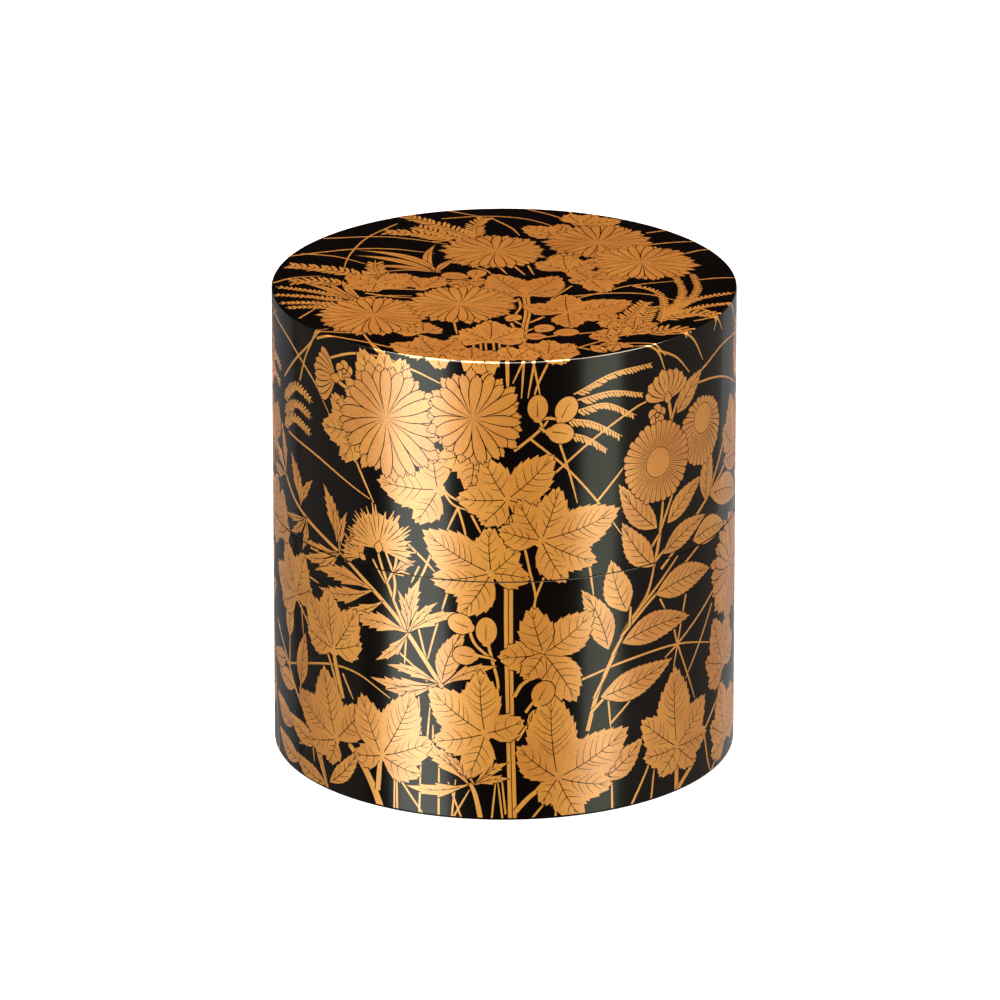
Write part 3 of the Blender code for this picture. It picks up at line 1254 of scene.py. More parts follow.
TOP_GRASSES = (
    (0.32, -15.4, 25.8, -19.6, 19.5, -22, 12, -22.9, 5),
    (0.33, -26, 19.4, -18, 19.9, -13, 18.5, -8, 16),
    (0.36, -30.6, 11.8, -22, 14.3, -16, 14.2, -10, 12), (0.33, -29, 12.8, -24, 11.2, -19.6, 7.6),
    (0.33, -9, 27.9, -3, 29, 2, 28.2, 5.4, 26, 8, 23), (0.33, -1.8, 28, 1, 23.6, 2.2, 20),
    (0.33, -8, 31.6, -3.4, 28.8), (0.33, 3, 32.6, 7, 29.4, 9.4, 26.4, 11, 23),
    (0.33, 9.4, 31.4, 10.4, 27, 12, 24), (0.33, 20.4, 21.6, 24.4, 23.6),
    (0.33, 20, 16, 24, 17.5, 28, 18.3), (0.33, 25.6, 12.4, 28, 14.2, 30.6, 15.2),
    (0.33, 27.4, 1.2, 30.5, 2.2, 33.4, 2.5), (0.33, 10.2, -7.4, 14, -4.5, 18, -1.6, 25, 0.8),
    (0.36, 9.6, -6.4, 15, -5, 20, -5.2, 24.4, -7.8), (0.33, 9.6, -2, 8, -5, 6.6, -7.6),
    (0.6, -20, -3.8, -16, -3.1, -12, -3.7), (0.33, -21.4, -7.2, -17, -6, -13, -6.2),
    (0.4, -19.6, -4.8, -16, -6.4, -13, -7), (0.4, -32.8, 0.2, -30, 2.2, -26, 2.8),
    (0.33, -28.8, -14.8, -26.6, -11), (0.36, -27, -20, -20, -21.1, -13.4, -20.4),
    (0.36, -27, -20.6, -19, -25, -13.6, -28.6), (0.33, -19.9, -20.8, -18.6, -25, -16.6, -29.4),
    (0.36, -12, -22.2, -6.6, -26), (0.33, -7, -17.6, -6.6, -22),
    (0.33, 9.4, -22, 14, -20.8, 19, -20), (0.33, 9.4, -28, 13, -25, 17, -21.8),
    (0.33, 13, -26.4, 18, -25.2, 24, -25.6), (0.33, 8.8, -26.4, 12, -28, 13.4, -29),
    (0.33, 26.8, -10.4, 29, -12, 31, -15.6), (0.33, -5, 6.6, -2.6, 4.6, -1.6, 2),
    (0.33, -0.8, 6.4, 0.4, 2.8), (0.33, 1.4, 6.4, 3, 2.4), (0.33, 3.4, 6.6, 4.2, 2.6),
    (0.33, 6, 9.6, 7.6, 11.8), (0.33, -3.6, 1.8, -3.4, -1.4, -4.8, -3.6),
    (0.33, -9, 3.8, -14, 4.9, -19, 3.6), (0.33, -9.2, 0, -5, 0.4, -2, -0.6),
)

TOP_STALKS = (
    (1, 1, 3, -5.6, 3.3, -13, 2.9, -19, 2.5, -26), (0.42, 0.3, 2, -7.4, 2.3, -10.8, 1.6, -14),
    (0.42, 0.3, 1, -17.6, 1.5, -20, 2.2, -22.4), (0.46, 0.36, 5.6, -15, 3.6, -17.4),
    (0.42, 0.3, 3, -21, 4.2, -19.8, 5.4, -19.6), (0.42, 0.3, 3, -23.8, 6.2, -23, 8.4, -21.8),
    (0.42, 0.3, 0.5, -13.6, 1.4, -16.6, 2.6, -18.4),
)

TOP_BROAD_EARS = (
    (-4, 18.6, -8.4, 23.8, -14.2, 29.4), (-4.2, 19, -4.2, 24.5, -2.6, 28.8),
    (-7.4, 17.6, -12, 20.9, -17.4, 22.1), (-6, 18.4, -9.4, 21.4, -13, 24.6),
    (-18.4, 1.6, -24.6, 5.4, -30.8, 7.7), (-17.4, 0.6, -18.2, 5, -18.4, 9.4),
    (-22.6, -0.8, -27, 0.8, -30.6, 0.5), (15.4, -23.4, 17.2, -15.4, 20, -8.2),
    (17.2, -22.6, 19.4, -16, 20.8, -9.8), (22, -15.4, 26.2, -12.8, 30.4, -13.6),
    (19.8, -21.4, 23.4, -19.4, 26.4, -20.2),
)

TOP_SLIM_EARS = (
    (-20.6, -7.4, -26.6, -3.9, -32.4, -1.4), (-22.4, -8, -27.5, -5.9, -32.6, -4.8),
    (-23.4, -9.4, -28, -8.4, -31.8, -8.4), (-24.6, -10.4, -28, -10.2, -30.8, -10.4),
    (22.4, -13, 27.4, -6.8, 32.6, -3.8), (22.8, -13.6, 28.4, -9.8, 32, -8.4),
    (22, -17, 22.6, -9, 21.4, -4, 18, -1.5), (22.8, -14, 25.2, -5, 24.2, 3.2),
    (23.4, -13.6, 27.2, -4, 26.8, 3.8),
)

# Smooth long blades: base, tip, width, bow
TOP_BLADES = (
    (-9.6, 3.6, -9.9, 15.8, 1.3, 0.1), (-9.4, 3.6, -20.2, 13.6, 1.5, -0.14),
    (-10, 3.8, -20.8, 11.4, 1.4, -0.1), (-10.6, 4.4, -18.6, 6.8, 1.2, -0.08),
    (-9.6, 3.6, -6.8, 9.6, 1.2, 0.08), (-20.6, -7.4, -24.6, -0.2, 1.1, 0.08),
    (-20.2, -7.2, -22.9, 0.6, 1.1, 0.05), (-21.8, -7.6, -28.4, -0.2, 1.1, -0.08),
)

TOP_LOBED_LEAVES = (
    (11, 25.6, 0.44, 112, 4.6, 66, 4.8, 16, 6), (7.6, 20.4, 0.44, 176, 4.2, 142, 6, 80, 5),
    (9, 4.6, 0.44, 142, 5.6, 48, 5.4, 94, 7.4),
    (12.2, 0.8, 0.44, 200, 3.2, 116, 5.2, 62, 4.2, 4, 5.4, -66, 5.8),
    (-11.6, -3, 0.44, 110, 5.4, 60, 5.4),
    (-18, -0.2, 0.44, 205, 5, -98, 4.2, 150, 5.2, -22, 5, 32, 5.6),
    (-5, -0.6, 0.44, 200, 3, 20, 2.6, -80, 2.6),
    (3, -6, 0.44, 30, 5.6, 156, 7.2, 60, 9.2, 118, 10),
    (9, -13, 0.44, 158, 6.8, -86, 6.4, -14, 7, 28, 10, 92, 7.2),
    (15.4, -16, 0.44, -40, 3.2, -110, 3.4, 120, 2.6), (-11.2, -21, 0.44, 172, 4, 30, 2.8, 92, 3.8),
    (-2, -24.6, 0.44, 12, 5.4, 168, 5.8, 48, 6.6, 130, 6, 90, 8),
    (-9.4, -29.2, 0.44, 170, 4.8, 20, 4.6, 62, 5.8, 150, 7.4, 110, 6.8),
    (6, -30, 0.44, 170, 4.2, 14, 4.6, 130, 5.4, 48, 5.6, 88, 5.6),
    (1.2, -31.6, 0.44, 150, 4.6, 30, 4.2, 100, 4.6, 60, 4.4),
    (-4.6, -31.8, 0.44, 140, 4.4, 90, 4.4, 40, 4.4),
    (14.2, -22.4, 0.44, 200, 2.4, -70, 2.8, 80, 2.6),
)

TOP_LEAVES = (
    (13.4, -25.8, 18.2, -26.6, 2.2, 0.03), (14.2, -29, 12.2, -26.2, 2, 0.03),
    (15, -28.6, 15.8, -25.6, 1.9, 0.03), (18, -21.4, 21, -20, 1.8, 0.03),
    (18.2, -19, 18.6, -14.6, 2.4, 0.03), (18.8, -19.6, 21.6, -17, 2, 0.03),
)

# Flowers and buds, which are painted last
SIDE_FLOWERS = (
    Bud(4.7 + 61.9j, 3.8, 2.9, 90),
    Bud(8.8 + 61.4j, 3.9, 3.2, 62),
    Bud(8 + 57.9j, 3.8, 3.0, -12),
    Bud(-2.5 + 28.7j, 4.1, 3.0, 90),
    Bud(-6.2 + 29.6j, 3.6, 3.0, 160),
    Bud(-5.6 + 24.9j, 3.4, 2.8, 175),
    Bud(5.5 + 19.2j, 3.8, 3.2, 60),
    Rosette(23.3 + 58.1j, 1.6),
    Rosette(-24.6 + 64.3j, 1.6),
    FanFlower(-26.2 + 62.9j, 4.9, 180, 52),
    FanFlower(25.4 + 60j, 4.6, 96, 66),
    FringedFlower(-21.4 + 37.4j, 4.2, 142, 62, 11),
    FringedFlower(-18.6 + 39.2j, 6.5, 84, 96),
    Chrysanthemum(-17.3 + 59j, 8.4, 22, 0.07, -60),
    Chrysanthemum(-4.4 + 60.4j, 6.9, 20, 0.05, 20),
    Daisy(33.2 + 53.1j, 5.2, 2.2, 0.2 + 1.8j),
    Daisy(23.6 + 51j, 6.1, 2.2, 0j, 34),
    Chrysanthemum(44.4 + 29.2j, 7.8, 21, 0.06, 160),
)

END_FLOWERS = (
    Bud(-57.4 + 45.6j, 4.0, 3.1, 110),
    Chrysanthemum(-52.2 + 60j, 6.7, 20, 0.06, -100),
    Bud(57.6 + 13.2j, 3.9, 3.1, 70),
    Chrysanthemum(65.8 + 59.4j, 7.0, 21, 0.06, 30),
    Daisy(-64 + 57.6j, 6.2, 2.2, 0.2 + 1.4j, 32),
    FringedFlower(-61.6 + 10.6j, 5.8, 98, 94),
    FringedFlower(52.4 + 18.6j, 5.4, 92, 92),
    Bud(57.4 + 54j, 3.8, 3.0, 80),
    Daisy(51.4 + 60.4j, 5.8, 2.1, 0.2 + 1.2j, 32),
)

TOP_FLOWERS = (
    Bud(-3.9 + 3.2j, 3.4, 2.8, 80),
    Bud(-7.1 + 2.2j, 3.8, 2.9, 160),
    Bud(5.6 - 19.6j, 3.1, 2.9, 60),
    Bud(8.8 - 21.2j, 3.4, 2.9, 20),
    Bud(4.3 - 22.9j, 2.8, 2.6, 180),
    Bud(1.3 - 15.4j, 2.8, 2.3, 60),
    Chrysanthemum(13.5 + 17j, 7.7, 27, 0.05, 90),
    Chrysanthemum(19.5 + 8.5j, 7.7, 28, 0.04, -20),
    Chrysanthemum(-1.1 + 12.9j, 7.4, 26, 0.06, 200),
    Chrysanthemum(-18.4 - 13.8j, 7.8, 28, 0.05, -110),
    Chrysanthemum(-6.3 - 9.8j, 7.8, 27, 0.04, 20),
)


class SideOrnament:
    """The plants on the upright side, drawn as the side unrolled."""

    def motifs(self) -> list[Motif]:
        """Everything on the front half.

        Returns:
            The motifs in the order they are painted.
        """
        leaflets = ((302, 8.8), (182, 6.4), (232, 4.6), (38, 9), (104, 7.2))
        return [
            *grasses(SIDE_GRASSES),
            *ears(SIDE_EARS_RIGHT, 1.35, -1),
            *ears(SIDE_EARS_LEFT, 1.15, 0, 0.66, 0.4),
            *stalks(SIDE_STALKS),
            *twigs(SIDE_THIN_STALKS),
            *lances(SIDE_LANCES),
            *leaves(SIDE_LEAVES),
            *lobed(SIDE_LOBED_LEAVES),
            LobedLeaf(5.6 + 25.1j, leaflets, 0.42, parted=True),
            *SIDE_FLOWERS,
        ]

    def ends(self) -> list[Motif]:
        """Plants at both sides where the front half and the back half meet, each drawn once.

        Returns:
            The motifs in the order they are painted.
        """
        # The first broad leaves are behind the single ones, and the others in front
        behind = 5
        broad = lobed(END_LOBED_LEAVES)
        return [
            *grasses(END_GRASSES),
            *stalks(END_STALKS),
            *broad[:behind],
            *leaves(END_LEAVES),
            *broad[behind:],
            *END_FLOWERS,
        ]


class TopOrnament:
    """The plants on the round top, seen from above with the front of the caddy downwards."""

    def motifs(self) -> list[Motif]:
        """Everything on the top.

        Returns:
            The motifs in the order they are painted.
        """
        shoots = [(x, -25.4, x + 0.1, -28.4) for x in (-4.3, -3.3, -2.6, -1.5, -0.7, 0.5)]
        return [
            *grasses(TOP_GRASSES),
            *stalks(TOP_STALKS),
            *[Stem(points_of(row), 0.34, 0.34) for row in shoots],
            *ears(TOP_BROAD_EARS, 2.3, 0, 0.95, 0.55),
            *ears(TOP_SLIM_EARS, 1.05, 0, 0.72, 0.4),
            *[LanceLeaf(*points_of(row[:4]), row[4], 0, row[5]) for row in TOP_BLADES],
            *lobed(TOP_LOBED_LEAVES),
            *leaves(TOP_LEAVES),
            *TOP_FLOWERS,
        ]


@dataclass(frozen=True)
class Outside:
    """The outer surface of the closed caddy, which the drawings are wrapped on.

    Attributes:
        radius: Radius of the upright side.
        height: Height at the middle of the crowned top.
        crown: How far the crown falls to the edge of the top.
        arris: Radius of the rounded edge between side and top.
        shoulder: Height of the body's shoulder.
        mouth: Height of the lid's lower edge.
        foot: Height at which the side meets the rounded lower edge.
        seam_margin: How far the gold stops short of the seam.
    """

    radius: float = 33.0
    height: float = 69.2
    crown: float = 0.4
    arris: float = 0.35
    shoulder: float = 36.0
    mouth: float = 36.1
    foot: float = 0.45
    seam_margin: float = 0.05

    @property
    def half_turn(self) -> float:
        """Half the distance round the side."""
        return math.pi * self.radius

    @property
    def slope(self) -> float:
        """Fall of the crown at the arris, as an angle."""
        return 2 * self.crown / self.radius

    @property
    def arris_foot(self) -> float:
        """Height at which the arris leaves the upright side."""
        half_corner = (math.pi / 2 + self.slope) / 2
        return self.height - self.crown - self.arris / math.tan(half_corner)

    @property
    def arris_turn(self) -> float:
        """Angle that the arris turns through."""
        return math.pi / 2 - self.slope

    @property
    def side_end(self) -> float:
        """Distance up the side and over the arris at which the top starts."""
        return self.arris_foot + self.arris * self.arris_turn

    @property
    def top_radius(self) -> float:
        """Radius at which the arris meets the top."""
        return self.radius - self.arris * (1 - math.cos(self.arris_turn))

    def wrap_side(self, flat: np.ndarray, gap: float) -> tuple[np.ndarray, np.ndarray]:
        """Wraps points of the unrolled side round the caddy and over the arris.

        Args:
            flat: Points as distance round, distance up, and distance out of the surface.
            gap: How far inside the outer surface a distance out of 0 lies.

        Returns:
            The points and the outward directions there.
        """
        turn = flat[:, 0] / self.radius
        lean = np.clip((flat[:, 1] - self.arris_foot) / self.arris, 0, self.arris_turn)
        radius = self.arris + flat[:, 2] - gap
        out = self.radius - self.arris + radius * np.cos(lean)
        up = np.minimum(flat[:, 1], self.arris_foot) + radius * np.sin(lean)
        points = np.stack([out * np.sin(turn), -out * np.cos(turn), up], axis=1)
        level = np.cos(lean)
        ways = np.stack([level * np.sin(turn), -level * np.cos(turn), np.sin(lean)], axis=1)
        return points, ways

    def wrap_top(self, flat: np.ndarray, gap: float) -> tuple[np.ndarray, np.ndarray]:
        """Lays points of the flat top on the crown.

        Args:
            flat: Points as right, away and distance out of the surface.
            gap: How far inside the outer surface a distance out of 0 lies.

        Returns:
            The points and the outward directions there.
        """
        share = (flat[:, 0] ** 2 + flat[:, 1] ** 2) / self.radius**2
        up = self.height - self.crown * share + flat[:, 2] - gap
        tilt = 2 * self.crown / self.radius**2
        ways = np.stack([flat[:, 0] * tilt, flat[:, 1] * tilt, np.ones(len(flat))], axis=1)
        ways /= np.linalg.norm(ways, axis=1, keepdims=True)
        return np.stack([flat[:, 0], flat[:, 1], up], axis=1), ways

    def side_to_top(self, outline: np.ndarray) -> np.ndarray:
        """Moves an outline from the unrolled side to the flat top, where it stops short of the middle.

        Args:
            outline: Points on the unrolled side.

        Returns:
            The points on the top.
        """
        nearest = 1.0
        radius = np.maximum(self.top_radius - (outline.imag - self.side_end), nearest)
        turn = outline.real / self.radius
        return radius * np.sin(turn) - 1j * radius * np.cos(turn)

    def top_to_side(self, outline: np.ndarray) -> np.ndarray:
        """Moves an outline from the flat top to the unrolled side.

        Args:
            outline: Points on the top.

        Returns:
            The points on the unrolled side.
        """
        turn = np.unwrap(np.arctan2(outline.real, -outline.imag))
        up = self.side_end + self.top_radius - np.abs(outline)
        return turn * self.radius + 1j * up


class Area(Enum):
    """The three areas that carry gold."""

    BODY_SIDE = "body_side"
    LID_SIDE = "lid_side"
    LID_TOP = "lid_top"


# Places flat points on the caddy, and gives the outward directions there
Wrap = Callable[[np.ndarray, float], tuple[np.ndarray, np.ndarray]]


@dataclass
class Triangles:
    """A flat sheet of triangles.

    Attributes:
        points: Its points as complex numbers.
        corners: Three point numbers for each triangle.
        shown: For each triangle the number of the shape, or -1 where it is bare.
    """

    points: np.ndarray
    corners: np.ndarray
    shown: np.ndarray


@dataclass
class GoldPicture:
    """Turns the shapes of one area into triangles of gold.

    Attributes:
        shapes: The shapes in the order they are painted.
        limit: Closed outline outside which nothing is kept.
        guides: Lines along which triangles are cut so that the sheet can bend.
    """

    shapes: list[Shape]
    limit: np.ndarray
    guides: list[np.ndarray]

    def cut(self, lines: Sequence[tuple[np.ndarray, bool]]) -> tuple[np.ndarray, np.ndarray]:
        """Cuts the plane into triangles along lines.

        Args:
            lines: The points of each line, and whether it is closed.

        Returns:
            The points as complex numbers, and three point numbers for each triangle.
        """
        places: list[Vector] = []
        edges: list[tuple[int, int]] = []
        for line, closed in lines:
            first = len(places)
            places += [Vector((p.real, p.imag)) for p in line.tolist()]
            last = len(places) - 1
            edges += zip(range(first, last), range(first + 1, last + 1))
            if closed:
                edges.append((last, first))
        points, _, faces, *_ = delaunay_2d_cdt(places, edges, [], 0, SAME_POINT, False)
        flat = np.array([(p.x, p.y) for p in points])
        return flat[:, 0] + 1j * flat[:, 1], np.array(faces)

    def winding(self, outline: np.ndarray, points: np.ndarray) -> np.ndarray:
        """How many times an outline goes round each of some points.

        Args:
            outline: The closed outline.
            points: The points.

        Returns:
            The number for each point.
        """
        ahead = np.roll(outline, -1)
        steps = ahead - outline
        to_point = points[:, None] - outline[None, :]
        left = steps.real * to_point.imag - steps.imag * to_point.real
        below = outline.imag <= points.imag[:, None]
        ahead_below = ahead.imag <= points.imag[:, None]
        up = below & ~ahead_below & (left > 0)
        down = ~below & ahead_below & (left < 0)
        return up.sum(axis=1) - down.sum(axis=1)

    def show(self, centres: np.ndarray) -> np.ndarray:
        """What shows on each triangle.

        Args:
            centres: Middles of the triangles.

        Returns:
            The number of the last shape that covers each, or -1 where it is bare.
        """
        order = np.argsort(centres.real)
        sorted_centres = centres[order]
        across, up = sorted_centres.real, sorted_centres.imag
        shown = np.full(len(centres), -1)
        for number, shape in enumerate(self.shapes):
            outline = shape.outline
            span = (outline.real.min(), outline.real.max())
            first, last = np.searchsorted(across, span)
            level = up[first:last]
            near = (level > outline.imag.min()) & (level < outline.imag.max())
            near = first + np.flatnonzero(near)
            inside = self.winding(outline, sorted_centres[near]) != 0
            shown[near[inside]] = number if shape.ink is Ink.GOLD else -1
        shown[self.winding(self.limit, sorted_centres) == 0] = -1
        back = np.empty_like(order)
        back[order] = np.arange(len(order))
        return shown[back]

    def motif_of(self, shown: np.ndarray) -> np.ndarray:
        """The motif that each shape belongs to.

        Args:
            shown: Numbers of shapes.

        Returns:
            A number that all shapes of a motif share.
        """
        keys = [shape.tone for shape in self.shapes] + [-1.0]
        return np.array(keys)[shown]

    def borders(self, corners: np.ndarray, motif: np.ndarray) -> np.ndarray:
        """The edges between triangles that show different motifs.

        Args:
            corners: Three point numbers for each triangle.
            motif: Number of the motif of each.

        Returns:
            The pairs of points.
        """
        pairs = np.concatenate([corners[:, [0, 1]], corners[:, [1, 2]], corners[:, [2, 0]]])
        pairs.sort(axis=1)
        owner = np.tile(np.arange(len(corners)), 3)
        order = np.lexsort((pairs[:, 1], pairs[:, 0]))
        pairs, owner = pairs[order], owner[order]
        shared = np.flatnonzero((pairs[1:] == pairs[:-1]).all(axis=1))
        differ = motif[owner[shared]] != motif[owner[shared + 1]]
        return pairs[shared[differ]]

    def triangles(self) -> Triangles:
        """Cuts along every outline, then again along only the borders of what shows.

        Returns:
            The sheet.
        """
        frame_lines = [(self.limit, True)] + [(line, False) for line in self.guides]
        outlines = [(shape.outline, True) for shape in self.shapes]
        points, corners = self.cut(frame_lines + outlines)
        motif = self.motif_of(self.show(points[corners].mean(axis=1)))
        kept = points[self.borders(corners, motif)]
        points, corners = self.cut(frame_lines + [(pair, False) for pair in kept])
        return Triangles(points, corners, self.show(points[corners].mean(axis=1)))


@dataclass
class GoldLayer:
    """The gold on the caddy, a thin closed layer on the lacquer for each area and plant.

    Attributes:
        outside: The surface that it follows.
        finish: Material of the gold.
        rise: How far the gold stands above the lacquer, in millimetres.
        sunk: How far its underside is sunk into the lacquer, in millimetres.
        gap: How far its face stays inside the outer surface, in millimetres.
        strips: Number of upright strips that the side is cut in, so that it bends round.
        arris_strips: Number of level strips on the arris.
        grid: Distance between the lines that the top is cut along, so that it follows the crown.
    """

    outside: Outside
    finish: bpy.types.Material
    rise: float = 0.006
    sunk: float = 0.02
    gap: float = 0.002
    strips: int = 288
    arris_strips: int = 8
    grid: float = 3.0

    def side_drawing(self) -> list[Shape]:
        """The front half, the same turned left for right as the back half, and what is between.

        What runs up over the arris is left out at the back, where the top has growth of its own.

        Returns:
            The shapes in the order they are painted.
        """
        ornament = SideOrnament()
        front = Drawing().draw(ornament.motifs())
        turned = Drawing()
        with turned.moved(self.outside.half_turn, mirrored=True):
            turned.draw(ornament.motifs())
        end = self.outside.side_end
        back = [shape for shape in turned.shapes if shape.outline.imag.max() < end]
        return front + back + Drawing().draw(ornament.ends())

    def side_shapes(self) -> list[Shape]:
        """The drawing of the whole side, with what crosses its back drawn at both ends.

        Returns:
            The shapes in the order they are painted.
        """
        turn = 2 * self.outside.half_turn
        shapes = []
        for shape in self.side_drawing() + self.from_top():
            for shift in (-turn, 0, turn):
                outline = shape.outline + shift
                if abs(outline.real).min() < self.outside.half_turn:
                    shapes.append(replace(shape, outline=outline))
        return shapes

    def from_top(self) -> list[Shape]:
        """What bends down over the arris from the top.

        Returns:
            The shapes as they lie on the unrolled side.
        """
        edge = self.outside.top_radius
        middle = edge / 3
        moved = []
        for shape in Drawing().draw(TopOrnament().motifs()):
            if abs(shape.outline).max() > edge and abs(shape.outline).min() > middle:
                outline = self.outside.top_to_side(shape.outline)
                moved.append(replace(shape, outline=outline))
        return moved

    def top_shapes(self) -> list[Shape]:
        """The drawing of the top, over what bends up to it from the side.

        Returns:
            The shapes in the order they are painted.
        """
        shapes = []
        for shape in self.side_drawing():
            if shape.outline.imag.max() > self.outside.side_end:
                outline = self.outside.side_to_top(shape.outline)
                shapes.append(replace(shape, outline=outline))
        return shapes + Drawing().draw(TopOrnament().motifs())

    def side_picture(self, low: float, high: float, shapes: list[Shape]) -> GoldPicture:
        """The part of the side between two heights.

        Args:
            low: The lower height.
            high: The upper height.
            shapes: The drawing of the side.

        Returns:
            The picture.
        """
        half = self.outside.half_turn
        limit = np.array([-half + 1j * low, half + 1j * low, half + 1j * high, -half + 1j * high])
        guides = [
            np.array([at + 1j * low, at + 1j * high])
            for at in np.linspace(-half, half, self.strips + 1)[1:-1]
        ]
        if high > self.outside.arris_foot:
            levels = np.linspace(self.outside.arris_foot, high, self.arris_strips + 1)[:-1]
            guides += [np.array([-half + 1j * level, half + 1j * level]) for level in levels]
        near = [s for s in shapes if s.outline.imag.max() > low and s.outline.imag.min() < high]
        return GoldPicture(near, limit, guides)

    def picture(self, area: Area) -> GoldPicture:
        """What is drawn on one area.

        Args:
            area: The area.

        Returns:
            The picture.
        """
        if area is Area.LID_TOP:
            around = np.linspace(0, math.tau, self.strips, endpoint=False)
            limit = self.outside.top_radius * np.exp(1j * around)
            guides = []
            for at in np.arange(-self.outside.radius, self.outside.radius, self.grid)[1:]:
                half = math.sqrt(self.outside.top_radius**2 - at**2)
                guides.append(np.array([at - 1j * half, at + 1j * half]))
                guides.append(np.array([1j * at - half, 1j * at + half]))
            return GoldPicture(self.top_shapes(), limit, guides)
        margin = self.outside.seam_margin
        if area is Area.BODY_SIDE:
            low, high = self.outside.foot, self.outside.shoulder - margin
        else:
            low, high = self.outside.mouth + margin, self.outside.side_end
        return self.side_picture(low, high, self.side_shapes())

    def lay(
        self, name: str, points: np.ndarray, corners: np.ndarray, tones: np.ndarray, wrap: Wrap
    ) -> None:
        """Makes one piece of the layer.

        Args:
            name: Name of the piece.
            points: Points of the flat sheet.
            corners: Three point numbers for each triangle.
            tones: Tone of each triangle.
            wrap: Method that places flat points on the caddy.
        """
        used, corners = np.unique(corners, return_inverse=True)
        corners = corners.reshape(-1, 3)
        points = points[used]
        mesh = bpy.data.meshes.new(name)
        under = np.full(len(points), -self.rise - self.sunk)
        flat = np.stack([points.real, points.imag, under], axis=1)
        mesh.from_pydata(flat.tolist(), [], corners.tolist())
        mesh.attributes.new("tone", "FLOAT", "FACE").data.foreach_set("value", tones)
        sheet = bmesh.new()
        sheet.from_mesh(mesh)
        self.part_touching_corners(sheet)
        whole = sheet.verts[:] + sheet.edges[:] + sheet.faces[:]
        made = bmesh.ops.extrude_face_region(sheet, geom=whole, use_keep_orig=True)
        raised = [part for part in made["geom"] if isinstance(part, bmesh.types.BMVert)]
        bmesh.ops.translate(sheet, verts=raised, vec=(0, 0, self.rise + self.sunk))
        sheet.to_mesh(mesh)
        sheet.free()
        points_used, flat_ways = self.face_corners(mesh)
        self.unroll(mesh, points_used, flat_ways)
        places = np.empty(len(mesh.vertices) * 3, np.float32)
        mesh.vertices.foreach_get("co", places)
        places, ways = wrap(places.reshape(-1, 3).astype(float), self.gap)
        mesh.vertices.foreach_set("co", (places * MM).ravel())
        mesh.update()
        walls = np.abs(flat_ways[:, 2:]) < UPWARD
        ways = ways[points_used] * np.sign(flat_ways[:, 2:])
        ways = np.where(walls, self.face_corners(mesh)[1], ways)
        mesh.shade_smooth()
        mesh.normals_split_custom_set(ways.tolist())
        mesh.materials.append(self.finish)
        mesh.update()
        piece = add_object(name, mesh)
        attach(piece, "root")

    def part_touching_corners(self, sheet: bmesh.types.BMesh) -> None:
        """Parts gold that meets only at a corner, so that its walls don't share an edge.

        Args:
            sheet: The flat sheet.
        """
        for point in sheet.verts[:]:
            rim = [edge for edge in point.link_edges if edge.is_boundary]
            if len(rim) > 2:
                bmesh.utils.vert_separate(point, rim)

    def face_corners(self, mesh: bpy.types.Mesh) -> tuple[np.ndarray, np.ndarray]:
        """Describes the corners of all faces.

        Args:
            mesh: The mesh.

        Returns:
            For each corner the number of its point, and the direction of its face.
        """
        points = np.empty(len(mesh.loops), np.int32)
        mesh.loops.foreach_get("vertex_index", points)
        ways = np.empty(len(mesh.polygons) * 3, np.float32)
        mesh.polygons.foreach_get("normal", ways)
        sizes = np.empty(len(mesh.polygons), np.int32)
        mesh.polygons.foreach_get("loop_total", sizes)
        return points, np.repeat(ways.reshape(-1, 3), sizes, axis=0)

    def unroll(self, mesh: bpy.types.Mesh, points: np.ndarray, ways: np.ndarray) -> None:
        """Gives a flat layer a map on which its face and its underside lie apart.

        Args:
            mesh: The layer, still flat.
            points: Number of the point of each corner.
            ways: Direction of the face of each corner.
        """
        places = np.empty(len(mesh.vertices) * 3, np.float32)
        mesh.vertices.foreach_get("co", places)
        places = places.reshape(-1, 3)[:, :2]
        low, high = places.min(axis=0), places.max(axis=0)
        margin = 0.01
        share = margin + (1 - 2 * margin) * (places - low) / (high - low)
        under = ways[:, 2] < UPWARD
        places = share[points] * (1, 0.5)
        places[under, 1] += 0.5
        mesh.uv_layers.new(name="OFBake").data.foreach_set("uv", places.astype(np.float32).ravel())

    def build(self) -> None:
        """Lays the gold on every area, one piece for each kind of plant."""
        for area in Area:
            picture = self.picture(area)
            sheet = picture.triangles()
            top = area is Area.LID_TOP
            wrap = self.outside.wrap_top if top else self.outside.wrap_side
            plants = [shape.plant for shape in picture.shapes]
            tones = np.array([shape.tone for shape in picture.shapes])
            for plant in Plant:
                of_plant = np.array([kind is plant for kind in plants] + [False])
                chosen = of_plant[sheet.shown]
                name = f"gold_{plant.value}_{area.value}"
                shown = sheet.shown[chosen]
                self.lay(name, sheet.points, sheet.corners[chosen], tones[shown], wrap)
                LOG.info("%s: %d triangles of drawing", name, chosen.sum())


@dataclass(frozen=True)
class Corner:
    """One corner of a turned profile, in millimetres.

    Attributes:
        radius: Its distance from the axis.
        height: Its height.
        rounding: Radius that it is rounded with.
        segments: Number of facets of the rounding.
    """

    radius: float
    height: float
    rounding: float = 0.0
    segments: int = 6


